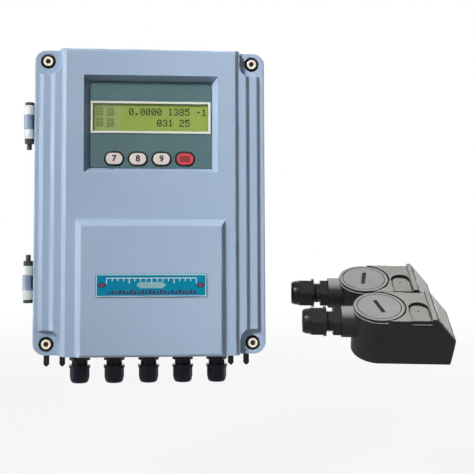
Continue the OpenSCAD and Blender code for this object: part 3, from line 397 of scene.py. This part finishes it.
# Name plate
TEAL = moulded("plate_teal", srgb(0, 122, 152), 0.42, vary=0.06, grain=2000.0, strength=0.06, edge=0.3,
               Specular_IOR_Level=0.12)
PLATE_GREY = moulded("plate_grey", srgb(126, 170, 172), 0.45, vary=0.05)
PLATE_WHITE = moulded("plate_white", srgb(214, 232, 236), 0.45, vary=0.03)
PLATE_DARK = moulded("plate_dark", srgb(30, 30, 74), 0.5, vary=0.05)
PLATE_RED = moulded("plate_red", srgb(122, 48, 58), 0.45, vary=0.05)

# Inside
BOARD = moulded("board_green", srgb(28, 92, 56), 0.35, vary=0.10, edge=0.3)
TERMINAL = moulded("terminal_green", srgb(52, 128, 88), 0.45)
POTTING = moulded("potting_black", srgb(26, 27, 28), 0.5, edge=0.8, Specular_IOR_Level=0.35)


# Finishes of the CAD nodes

WELD_REACH = 0.000002
FLAT_ANGLE = math.radians(0.6)
EDGE_ANGLE = math.radians(32.0)
EDGE_SEGMENTS = 2


def dress(name, shader, width):
    """Gives a CAD node its material, and rounds its edges by width millimetres."""
    obj = NODES[name]
    obj.data.materials.clear()
    obj.data.materials.append(shader.material)
    for polygon in obj.data.polygons:
        polygon.material_index = 0
    if width:
        weld = obj.modifiers.new("weld", "WELD")
        weld.merge_threshold = WELD_REACH
        flat = obj.modifiers.new("flat", "DECIMATE")
        flat.decimate_type = "DISSOLVE"
        flat.angle_limit = FLAT_ANGLE
        bevel = obj.modifiers.new("bevel", "BEVEL")
        bevel.width = width * MM
        bevel.segments = EDGE_SEGMENTS
        bevel.limit_method = "ANGLE"
        bevel.angle_limit = EDGE_ANGLE
        bevel.use_clamp_overlap = True
        bevel.harden_normals = False
        bevel.face_strength_mode = "FSTR_ALL"
        normal = obj.modifiers.new("normal", "WEIGHTED_NORMAL")
        normal.keep_sharp = False
        normal.use_face_influence = True


# Material, edge rounding in millimetres, and nodes
FINISHES = (
    (CASE_PAINT, 0.6, ["case"]),
    (CASE_PAINT, 0.7, ["lid"]),
    (HINGE_PALE, 0.5, ["hinge_arms"]),
    (HINGE_BLUE, 0.3, ["hinge_knuckles"]),
    (DARK_STEEL, 0.3, ["hinge_bolts", "hinge_nuts"]),
    (RUBBER, 0.2, ["case_gasket", "screw_rings", "gland_seals"]),
    (BRACKET, 0.4, ["wall_brackets"]),
    (ZINC, 0.15, ["fixing_screws", "display_screws", "mounting_plate"]),
    (SCREW_STEEL, 0.35, ["lid_screw_%d" % i for i in range(1, 5)]),
    (BOARD, 0.1, ["main_board", "display_board", "front_terminals", "rear_terminals"]),
    (BRASS, 0.15, ["board_spacers"]),
    (TERMINAL, 0.2, ["terminal_block"]),
    (POTTING, 0.3, ["power_module", "display_module", "key_switches"]),
    (BLACK_PLASTIC, 0.4, ["gland_bodies", "gland_locknuts"]),
    (NUT_PLASTIC, 0.4, ["gland_nut_%d" % i for i in range(1, GLAND_COUNT + 1)]),
    (SHEET, 0.1, ["front_panel"]),
    (FRAME_WHITE, 0.2, ["display_frame"]),
    (CELL, 0.0, ["display_cell"]),
    (CLEAR, 0.0, ["display_window"]),
    (KEY_BLACK, 0.3, ["key_%d" % i for i in range(1, 5)]),
    (TEAL, 0.15, ["name_plate"]),
    (HOUSING, 0.7, ["front_housing", "rear_housing"]),
    (CAP_PLASTIC, 0.3, ["front_cap", "rear_cap"]),
    (RUBBER, 0.2, ["front_cap_seal", "rear_cap_seal", "front_gland_seal", "rear_gland_seal"]),
    (PROBE_PLASTIC, 0.4, ["front_gland", "rear_gland", "front_gland_nut", "rear_gland_nut"]),
    (WEDGE, 0.3, ["front_wedge", "rear_wedge"]),
    (CRYSTAL, 0.2, ["front_crystal", "rear_crystal"]),
    (LABEL, 0.1, ["front_label", "rear_label"]),
)
for shader, width, names in FINISHES:
    for name in names:
        dress(name, shader, width)


# Outlines, as lists of (x, z) pairs in the front view

def box(x0, x1, z0, z1):
    return [(x0, z0), (x1, z0), (x1, z1), (x0, z1)]


def frame_sides(x0, x1, z0, z1, t):
    """The four sides of a thin rectangular frame."""
    low = box(x0, x1, z0, z0 + t)
    high = box(x0, x1, z1 - t, z1)
    left = box(x0, x0 + t, z0, z1)
    right = box(x1 - t, x1, z0, z1)
    return [low, high, left, right]


def stadium(w, h, x=0.0, z=0.0, steps=10):
    """A bar with round ends, about the point (x, z)."""
    r = h / 2
    pairs = []
    for side, start in ((1, -90), (-1, 90)):
        for k in range(steps + 1):
            t = math.radians(start + 180 * k / steps)
            pairs.append((x + side * (w / 2 - r) + r * math.cos(t), z + r * math.sin(t)))
    return pairs


def turned(a, b, angle):
    """The pair (a, b), turned about the origin."""
    return a * math.cos(angle) - b * math.sin(angle), a * math.sin(angle) + b * math.cos(angle)


# Meshes, made in millimetres

# How far new pieces reach into what carries them
SINK = 0.05


def place(i, x, y, z):
    """A point of transducer i, 0 in front and 1 behind, given about its cap's axis."""
    return PROBE_PLACE + PROBE_WAY @ Vector((x - i * PAIR_SHIFT, y + i * PROBE_STEP, z))


def bridge(bm, a, b):
    """A band of faces between two closed rows of as many points."""
    count = len(a)
    for k in range(count):
        n = (k + 1) % count
        bm.faces.new((a[k], b[k], b[n], a[n]))


def prism(bm, outline, to_world):
    """Extrudes an outline of (a, b) pairs between depths 0 and 1, through to_world(a, b, depth)."""
    front = [bm.verts.new(to_world(a, b, 0.0)) for a, b in outline]
    back = [bm.verts.new(to_world(a, b, 1.0)) for a, b in outline]
    bm.faces.new(front)
    bm.faces.new(back[::-1])
    bridge(bm, front, back)


def front_prism(bm, outline, y0, y1, x=0.0, z=0.0):
    """Extrudes an outline of the front view from y0 back to y1, moved by x and z."""
    prism(bm, outline, lambda a, b, d: Vector((x + a, y0 + (y1 - y0) * d, z + b)))


# A thread's ridge: along the axis in pitches, and outwards in ridge heights
THREAD_SECTION = ((-0.42, 0.0), (-0.14, 1.0), (0.14, 1.0), (0.42, 0.0), (0.0, -0.4))
THREAD_RUN_OUT = 6.0
THREAD_END_SHARE = 0.05


def helix(bm, centre, direction, radius, height, pitch, turns, steps=36):
    """A rounded screw thread that winds along direction, with tapering ends."""
    direction = Vector(direction).normalized()
    side = direction.orthogonal().normalized()
    other = direction.cross(side)
    total = int(turns * steps)
    rows = []
    for k in range(total + 1):
        t = 2 * math.pi * k / steps
        taper = max(min(1.0, k / THREAD_RUN_OUT, (total - k) / THREAD_RUN_OUT), THREAD_END_SHARE)
        out = side * math.cos(t) + other * math.sin(t)
        rows.append([bm.verts.new(Vector(centre) + direction * (pitch * k / steps + a * pitch)
                                  + out * (radius + b * height * taper))
                     for a, b in THREAD_SECTION])
    for a, b in zip(rows, rows[1:]):
        bridge(bm, a, b)
    bm.faces.new(rows[0])
    bm.faces.new(rows[-1][::-1])


def finish_piece(name, bm, shader, body, smooth=False):
    """Makes an object of bm, whose points are in millimetres, and lets it ride on a body."""
    bmesh.ops.recalc_face_normals(bm, faces=bm.faces)
    mesh = bpy.data.meshes.new(name)
    bm.to_mesh(mesh)
    bm.free()
    mesh.transform(Matrix.Scale(MM, 4))
    for polygon in mesh.polygons:
        polygon.use_smooth = smooth
    mesh.materials.append(shader.material)
    obj = bpy.data.objects.new(name, mesh)
    bpy.context.scene.collection.objects.link(obj)
    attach(obj, body)
    return obj


# Display characters, drawn as dots of 5 columns and 7 rows

DIGITS = {
    "0": ("01110", "10001", "10011", "10101", "11001", "10001", "01110"),
    "1": ("00100", "01100", "00100", "00100", "00100", "00100", "01110"),
    "2": ("01110", "10001", "00001", "00110", "01000", "10000", "11111"),
    "3": ("01110", "10001", "00001", "00110", "00001", "10001", "01110"),
    "5": ("11111", "10000", "11110", "00001", "00001", "10001", "01110"),
    "8": ("01110", "10001", "10001", "01110", "10001", "10001", "01110"),
    ".": ("00000", "00000", "00000", "00000", "00000", "01100", "01100"),
    "-": ("00000", "00000", "00000", "01110", "00000", "00000", "00000"),
    " ": (),
}
DIGIT_ROWS = 7
DIGIT_DOT = (0.74, 0.82)
DIGIT_SHARE = 1.2
DIGIT_MARGIN = 0.5

# Height of each row of characters over the display's middle, its first field and its figures
TEXT_ROWS = (
    (5.0, 6, "0.0000 1385 -1"),
    (-4.2, 11, "031 25"),
)

# A plain woven block, which stands for the unit signs at the display's left
LONG_ROW = "11111111111110"
POST_ROW = "00010000010000"
TILE_ROW = "01111101111100"
OPEN_ROW = "01000101000100"
BLOCK = (LONG_ROW, POST_ROW, TILE_ROW, OPEN_ROW, TILE_ROW, POST_ROW,
         LONG_ROW, POST_ROW, TILE_ROW, OPEN_ROW, LONG_ROW, POST_ROW)
BLOCK_DOT = (0.52, 0.62)
BLOCK_SHARE = 0.96
BLOCK_MARGIN = 0.8
BLOCK_PITCH = 9.0
BLOCK_HALF_H = 3.7
DOT_PROUD = 0.06


def dots(bm, rows, left, top, pitch, share):
    """A block for each mark of a dot pattern on the display cell, as wide as a share of the pitch."""
    across, down = pitch
    for r, row in enumerate(rows):
        for c, mark in enumerate(row):
            if mark == "1":
                outline = box(left + c * across, left + (c + share) * across,
                              top - (r + share) * down, top - r * down)
                front_prism(bm, outline, CELL_Y - DOT_PROUD, CELL_Y)


def display_text():
    left = -FIELDS / 2 * FIELD_W
    bm = bmesh.new()
    for middle, first, figures in TEXT_ROWS:
        top = DISPLAY_Z + middle + DIGIT_ROWS / 2 * DIGIT_DOT[1]
        for n, figure in enumerate(figures):
            dots(bm, DIGITS[figure], left + (first + n) * FIELD_W + DIGIT_MARGIN, top,
                 DIGIT_DOT, DIGIT_SHARE)
    finish_piece("display_characters", bm, LCD_INK, "lid")
    bm = bmesh.new()
    for column in (0, 1):
        rows = BLOCK[column:] + BLOCK[:column]
        for middle, _, _ in TEXT_ROWS:
            dots(bm, rows, left + BLOCK_MARGIN + column * BLOCK_PITCH, DISPLAY_Z + middle + BLOCK_HALF_H,
                 BLOCK_DOT, BLOCK_SHARE)
    finish_piece("display_blocks", bm, LCD_FAINT, "lid")


display_text()


# Keys: a raised pad with its mark on each key's black surround. The last, red one has bars for a mark.

KEY_MARKS = ("7", "8", "9", None)
PAD_MARGIN = 1.0
PAD_PROUD = 0.35
PAD_ROUND = 0.3
KEY_BAR_PROUD = 0.05
KEY_BAR_HALF_W = 4.2
KEY_BAR_HALF_H = 0.45
KEY_BAR_PITCH = 1.7
GLYPH_H = 5.2
GLYPH_SIZE_SHARE = 1.38
GLYPH_HALF_T = 0.04
GLYPH_THICKEN = 0.22


def glyph(name, digit, centre, body):
    """A digit from Blender's own font, as a thin plate that faces the viewer."""
    curve = bpy.data.curves.new(name, "FONT")
    curve.body = digit
    curve.size = GLYPH_H * GLYPH_SIZE_SHARE
    curve.align_x = "CENTER"
    curve.align_y = "CENTER"
    curve.extrude = GLYPH_HALF_T
    curve.offset = GLYPH_THICKEN
    curve.resolution_u = 4
    text = bpy.data.objects.new(name + "_curve", curve)
    bpy.context.scene.collection.objects.link(text)
    bpy.context.view_layer.update()
    mesh = bpy.data.meshes.new_from_object(text)
    bpy.data.objects.remove(text)
    mesh.transform(Matrix.Rotation(math.radians(90), 4, "X"))
    mesh.transform(Matrix.Translation(centre))
    bm = bmesh.new()
    bm.from_mesh(mesh)
    bpy.data.meshes.remove(mesh)
    finish_piece(name, bm, INK, body)


def key_top(number, mark):
    body = "key_%d" % number
    shader, slot = (IVORY, "key_ivory") if mark else (RED, "key_red")
    x = (number - 1 - (len(KEY_MARKS) - 1) / 2) * KEY_PITCH - KEY_LEFT
    pad_top = KEY_TOP - PAD_PROUD
    bm = bmesh.new()
    front_prism(bm, stadium(KEY_W - 2 * PAD_MARGIN, KEY_H - 2 * PAD_MARGIN),
                pad_top, KEY_TOP + SINK, x, KEY_Z)
    pad = finish_piece("key_pad_%d" % number, bm, shader, body)
    bevel = pad.modifiers.new("bevel", "BEVEL")
    bevel.width = PAD_ROUND * MM
    bevel.segments = 3
    if mark:
        glyph("key_mark_%d" % number, mark, Vector((x, pad_top, KEY_Z)), body)
        return
    bm = bmesh.new()
    for row in (-1, 0, 1):
        front_prism(bm, box(-KEY_BAR_HALF_W, KEY_BAR_HALF_W, -KEY_BAR_HALF_H, KEY_BAR_HALF_H),
                    pad_top - KEY_BAR_PROUD, pad_top + SINK, x, KEY_Z + row * KEY_BAR_PITCH)
    finish_piece("key_mark_%d" % number, bm, INK, body)


for index, mark in enumerate(KEY_MARKS):
    key_top(index + 1, mark)


# Name plate: a plain gauge pattern in place of words and marks, measured from the plate's middle

PRINT_T = 0.1
PRINT_PROUD = 0.08
BORDER_HALF_W = 44.2
BORDER_HALF_H = 8.8
LINE_W = 0.5
SCALE_HALF_W = 36.0
SCALE_Z = 5.6
TICKS = 16
TICK_PITCH = 2 * SCALE_HALF_W / TICKS
TICK_FOOT = 3.4
LONG_TICK_FOOT = 1.6
LONG_TICK_EVERY = 4
LOZENGE = [(-9.0, -2.2), (9.0, -2.2), (12.0, 0.4), (9.0, 2.8), (-9.0, 2.8), (-12.0, 0.4)]
BAR_COUNT = 24
BAR_FIRST_X = -34.0
BAR_PITCH = 3.0
BAR_HALF_W = 1.1
BAR_FOOT = -7.0
BAR_LEAST_TOP = -5.2
BAR_STEP_H = 0.28
BAR_STEPS = 8
BAR_LEAP = 5
MARK_X = 39.6
MARK_Z = 0.2
MARK_SIZE = (3.4, 1.8)
MARK_GROUND_SIZE = (6.4, 3.6)
MARK_LIFT = 0.06


def plate_piece(name, shader, outlines, lift=0.0):
    """Thin flat shapes on the face of the name plate."""
    bm = bmesh.new()
    front = PLATE_Y - PRINT_PROUD - lift
    for outline in outlines:
        front_prism(bm, outline, front, front + PRINT_T, z=PLATE_Z)
    finish_piece(name, bm, shader, "lid")


def plate_pattern():
    border = frame_sides(-BORDER_HALF_W, BORDER_HALF_W, -BORDER_HALF_H, BORDER_HALF_H, LINE_W)
    plate_piece("plate_border", PLATE_WHITE, border)
    rails = [box(-SCALE_HALF_W, SCALE_HALF_W, SCALE_Z, SCALE_Z + LINE_W)]
    for k in range(TICKS + 1):
        x = -SCALE_HALF_W + TICK_PITCH * k
        rails.append(box(x, x + LINE_W, TICK_FOOT if k % LONG_TICK_EVERY else LONG_TICK_FOOT, SCALE_Z))
    plate_piece("plate_rails", PLATE_WHITE, rails)
    plate_piece("plate_field", PLATE_GREY, [LOZENGE])
    bars = []
    for k in range(BAR_COUNT):
        x = BAR_FIRST_X + BAR_PITCH * k
        top = BAR_LEAST_TOP + BAR_STEP_H * (k * BAR_LEAP % BAR_STEPS)
        bars.append(box(x - BAR_HALF_W, x + BAR_HALF_W, BAR_FOOT, top))
    plate_piece("plate_bars", PLATE_DARK, bars)
    grounds = [stadium(*MARK_GROUND_SIZE, x, MARK_Z) for x in (-MARK_X, MARK_X)]
    plate_piece("plate_mark_grounds", PLATE_DARK, grounds)
    marks = [stadium(*MARK_SIZE, x, MARK_Z) for x in (-MARK_X, MARK_X)]
    plate_piece("plate_marks", PLATE_RED, marks, MARK_LIFT)


plate_pattern()


# Threads, lugs, and dark floors of painted shade in slots, grooves and sockets

PROBE_THREAD_START = 0.6
BOLT_THREAD_START = 0.2

# Dark floors of painted shade in the caps' slots and grooves: what they leave free, and how far they reach
# below and up to
SLOT_FREE = 0.05
SLOT_FILL = 0.25
GROOVE_STEPS = 96
GROOVE_BOTTOM = 0.35
GROOVE_TOP = 0.12

# Lugs of the case glands: they start in the neck and the hexagon, and stop short of the nut
LUGS = 8
LUG_SINK = 0.3
LUG_OUT = 0.8
LUG_HALF_W = 1.0
LUG_TIP_HALF_W = 0.8
LUG_TOP_SINK = 0.2
LUG_NUT_FREE = 0.1

# Dark floors of painted shade in the lid screws' sockets, numbered by the corners in the order of the
# screws
CORNERS = ((-1, 1), (1, 1), (-1, -1), (1, -1))
SOCKET_SHARE = 0.97
SOCKET_PROUD = 0.1
SOCKET_SINK = 0.02


def probe_thread(i, side):
    """The thread that shows between a transducer's hexagon and its nut."""
    bm = bmesh.new()
    start = place(i, PROBE_NUT_X - PROBE_THREAD_START, 0, BOSS_Z)
    helix(bm, start, PROBE_WAY @ Vector((-1, 0, 0)), PROBE_NECK_D / 2, height=0.7, pitch=1.4, turns=3.0)
    finish_piece(side + "_gland_thread", bm, PROBE_PLASTIC, side + "_transducer", smooth=True)


def cap_slot_shade(i, side):
    """A dark floor in a cap's coin slot, which paints the shade in it."""
    half_l = COIN_LEN / 2 - SLOT_FREE
    half_w = COIN_W / 2 - SLOT_FREE
    floor_z = PROBE_H - COIN_D
    bm = bmesh.new()
    prism(bm, box(-half_l, half_l, -half_w, half_w),
          lambda a, b, d: place(i, *turned(a, b, COIN_TURNS[i]), floor_z + SLOT_FILL * d))
    finish_piece(side + "_cap_slot_shade", bm, KEY_BLACK, side + "_cap")


def cap_groove_shade(i, side):
    """A dark floor in a cap's ring groove, which paints the shade in it."""
    low = PROBE_H - GROOVE_BOTTOM
    high = PROBE_H - GROOVE_TOP
    section = ((GROOVE_INNER_R, low), (GROOVE_OUTER_R, low), (GROOVE_OUTER_R, high), (GROOVE_INNER_R, high))
    bm = bmesh.new()
    rows = []
    for k in range(GROOVE_STEPS):
        t = 2 * math.pi * k / GROOVE_STEPS
        rows.append([bm.verts.new(place(i, r * math.cos(t), r * math.sin(t), z)) for r, z in section])
    for k in range(GROOVE_STEPS):
        bridge(bm, rows[k], rows[(k + 1) % GROOVE_STEPS])
    finish_piece(side + "_cap_groove_shade", bm, KEY_BLACK, side + "_cap", smooth=True)


def gland_lugs(number):
    """The ring of lugs between a case gland's hexagon and its nut."""
    middle_x = (number - 1 - (GLAND_COUNT - 1) / 2) * GLAND_PITCH
    inner = GLAND_NECK_D / 2 - LUG_SINK
    outer = GLAND_NECK_D / 2 + LUG_OUT
    top = BOTTOM_Z - GLAND_HEX_H + LUG_TOP_SINK
    height = LUG_TOP_SINK + GLAND_GAP - LUG_NUT_FREE
    outline = [(inner, -LUG_HALF_W), (outer, -LUG_TIP_HALF_W), (outer, LUG_TIP_HALF_W), (inner, LUG_HALF_W)]
    bm = bmesh.new()
    for k in range(LUGS):
        lug = [turned(a, b, 2 * math.pi * (k + 0.5) / LUGS) for a, b in outline]
        prism(bm, lug, lambda a, b, d: Vector((middle_x + a, GLAND_Y + b, top - height * d)))
    finish_piece("gland_lugs_%d" % number, bm, BLACK_PLASTIC, "converter")


def screw_socket_shade(number, x, z):
    """A dark floor in a lid screw's hexagon socket, which paints the shade in it."""
    r = SOCKET_AF / math.sqrt(3) * SOCKET_SHARE
    hexagon = [(r * math.cos(math.radians(60 * k)), r * math.sin(math.radians(60 * k))) for k in range(6)]
    bm = bmesh.new()
    front_prism(bm, hexagon, SOCKET_Y - SOCKET_PROUD, SOCKET_Y + SOCKET_SINK, x, CASE_Z + z)
    finish_piece("screw_socket_%d" % number, bm, KEY_BLACK, "lid_screw_%d" % number)


def hinge_thread(side, flip):
    """The thread on the tip of a hinge bolt, which points to the case's middle."""
    bm = bmesh.new()
    nut_end = HINGE_Z - HINGE_HALF - BOLT_NUT_H
    start = Vector((HINGE_X, JOINT_Y, CASE_Z + flip * (nut_end - BOLT_THREAD_START)))
    helix(bm, start, (0, 0, -flip), BOLT_R - SINK, height=0.25, pitch=0.7, turns=6.5, steps=20)
    finish_piece("hinge_thread_" + side, bm, DARK_STEEL, "converter", smooth=True)


for i, side in enumerate(SIDES):
    probe_thread(i, side)
for i, side in enumerate(SIDES):
    cap_slot_shade(i, side)
    cap_groove_shade(i, side)
for number in range(1, GLAND_COUNT + 1):
    gland_lugs(number)
for number, (right, up) in enumerate(CORNERS, 1):
    screw_socket_shade(number, right * SCREW_X, up * SCREW_Z)
hinge_thread("upper", 1)
hinge_thread("lower", -1)


# Camera, fitted to the photo: PHOTO, FOCAL and OPTICAL_AXIS are in the photo's pixels

PHOTO = 474
FOCAL = 800.4
OPTICAL_AXIS = (175.4, 203.0)
SENSOR_W = 36.0
CAMERA_AT = Vector((-26.9, -734.8, CASE_Z - 36.8)) * MM
YAW = math.radians(4.106)
PITCH = math.radians(3.098)


def aim(obj, way):
    """Turns a camera or lamp to look along a direction, with its top up."""
    obj.rotation_euler = way.to_track_quat("-Z", "Y").to_euler()


def add_camera():
    data = bpy.data.cameras.new("camera")
    data.sensor_width = SENSOR_W
    data.lens = FOCAL / PHOTO * SENSOR_W
    data.shift_x = (PHOTO / 2 - OPTICAL_AXIS[0]) / PHOTO
    data.shift_y = (OPTICAL_AXIS[1] - PHOTO / 2) / PHOTO
    data.clip_end = 50.0
    camera = bpy.data.objects.new("camera", data)
    camera.location = CAMERA_AT
    level = math.cos(PITCH)
    aim(camera, Vector((math.sin(YAW) * level, math.cos(YAW) * level, math.sin(PITCH))))
    bpy.context.scene.collection.objects.link(camera)
    bpy.context.scene.camera = camera


add_camera()


# Lamps, background and floor, in metres

MIDDLE = Vector((60.0, -60.0, CASE_Z)) * MM
WHITE = (1.0, 1.0, 1.0, 1.0)
SKY_BLUE = (0.70, 0.84, 1.0, 1.0)
SKY_STRENGTH = 0.05
FLOOR_R = 2.2
FLOOR_PLACE = (0.06, -0.06, -0.36)

# The share of white in the floor as it is seen, near its middle, and the stretch over which it rises to 1
FLOOR_WHITE = 0.90
RISE_START_R = 0.35 * FLOOR_R
RISE_END_R = 0.95 * FLOOR_R


def area_light(name, direction, distance, wide, tall, energy, aside=(0.0, 0.0, 0.0), spread=180.0):
    """A panel light in a direction from the middle of the scene, which looks at a point aside from it."""
    data = bpy.data.lights.new(name, "AREA")
    data.shape = "RECTANGLE"
    data.size = wide
    data.size_y = tall
    data.energy = energy
    data.spread = math.radians(spread)
    lamp = bpy.data.objects.new(name, data)
    lamp.location = MIDDLE + Vector(direction).normalized() * distance
    aim(lamp, MIDDLE + Vector(aside) - lamp.location)
    bpy.context.scene.collection.objects.link(lamp)


def background_rays(tree):
    """1 for rays that see the background straight, mirrored or through glass, and 0 for its light."""
    path = tree.nodes.new("ShaderNodeLightPath")
    found = path.outputs["Is Camera Ray"]
    for ray in ("Is Glossy Ray", "Is Transmission Ray"):
        either = tree.nodes.new("ShaderNodeMath")
        either.operation = "MAXIMUM"
        tree.links.new(found, either.inputs[0])
        tree.links.new(path.outputs[ray], either.inputs[1])
        found = either.outputs[0]
    return found


def add_world():
    """A faint blue light from all sides, with a white background."""
    world = bpy.data.worlds.new("world")
    bpy.context.scene.world = world
    world.use_nodes = True
    tree = world.node_tree
    sky = tree.nodes["Background"]
    sky.inputs["Color"].default_value = SKY_BLUE
    sky.inputs["Strength"].default_value = SKY_STRENGTH
    white = tree.nodes.new("ShaderNodeBackground")
    white.inputs["Color"].default_value = WHITE
    white.inputs["Strength"].default_value = 1.0
    blend = tree.nodes.new("ShaderNodeMixShader")
    tree.links.new(background_rays(tree), blend.inputs["Fac"])
    tree.links.new(sky.outputs[0], blend.inputs[1])
    tree.links.new(white.outputs[0], blend.inputs[2])
    tree.links.new(blend.outputs[0], tree.nodes["World Output"].inputs["Surface"])


def floor_material():
    """Pale grey that takes the shadow, and shows nearly white, more so towards the floor's rim."""
    shader = Shader("floor", 0.8, Specular_IOR_Level=0.1)
    shader.colour(shader.mix(shader.noise(3.0), srgb(150, 150, 150), srgb(158, 158, 158)))
    reach = shader.node("ShaderNodeVectorMath", operation="LENGTH")
    shader.feed(reach.inputs[0], shader.coord)
    share = shader.ramp(reach.outputs["Value"], RISE_START_R, RISE_END_R, FLOOR_WHITE, 1.0)
    plain = shader.node("ShaderNodeEmission")
    plain.inputs["Color"].default_value = WHITE
    blend = shader.node("ShaderNodeMixShader")
    shader.feed(blend.inputs["Fac"], shader.math("MULTIPLY", share, background_rays(shader.tree)))
    shader.feed(blend.inputs[1], shader.surface.outputs[0])
    shader.feed(blend.inputs[2], plain.outputs[0])
    shader.feed(shader.tree.nodes["Material Output"].inputs["Surface"], blend.outputs[0])
    return shader


def add_floor():
    bm = bmesh.new()
    bmesh.ops.create_circle(bm, cap_ends=True, segments=96, radius=FLOOR_R)
    mesh = bpy.data.meshes.new("floor")
    bm.to_mesh(mesh)
    bm.free()
    mesh.materials.append(floor_material().material)
    floor = bpy.data.objects.new("floor", mesh)
    floor.location = FLOOR_PLACE
    bpy.context.scene.collection.objects.link(floor)


area_light("key", (-0.55, -0.75, 0.70), distance=3.0, wide=0.6, tall=0.55, energy=5.05,
           aside=(0.48, 0.0, -0.16), spread=28.0)
area_light("strip", (-0.74, -0.66, 0.12), distance=2.5, wide=0.16, tall=1.0, energy=4.5)
area_light("edge", (-0.99, -0.085, 0.12), distance=2.5, wide=0.90, tall=1.4, energy=20.0)
area_light("back", (0.5, 1.0, 0.3), distance=2.4, wide=3.0, tall=1.8, energy=24.0)
add_world()
add_floor()
bpy.context.scene.view_settings.view_transform = "Standard"
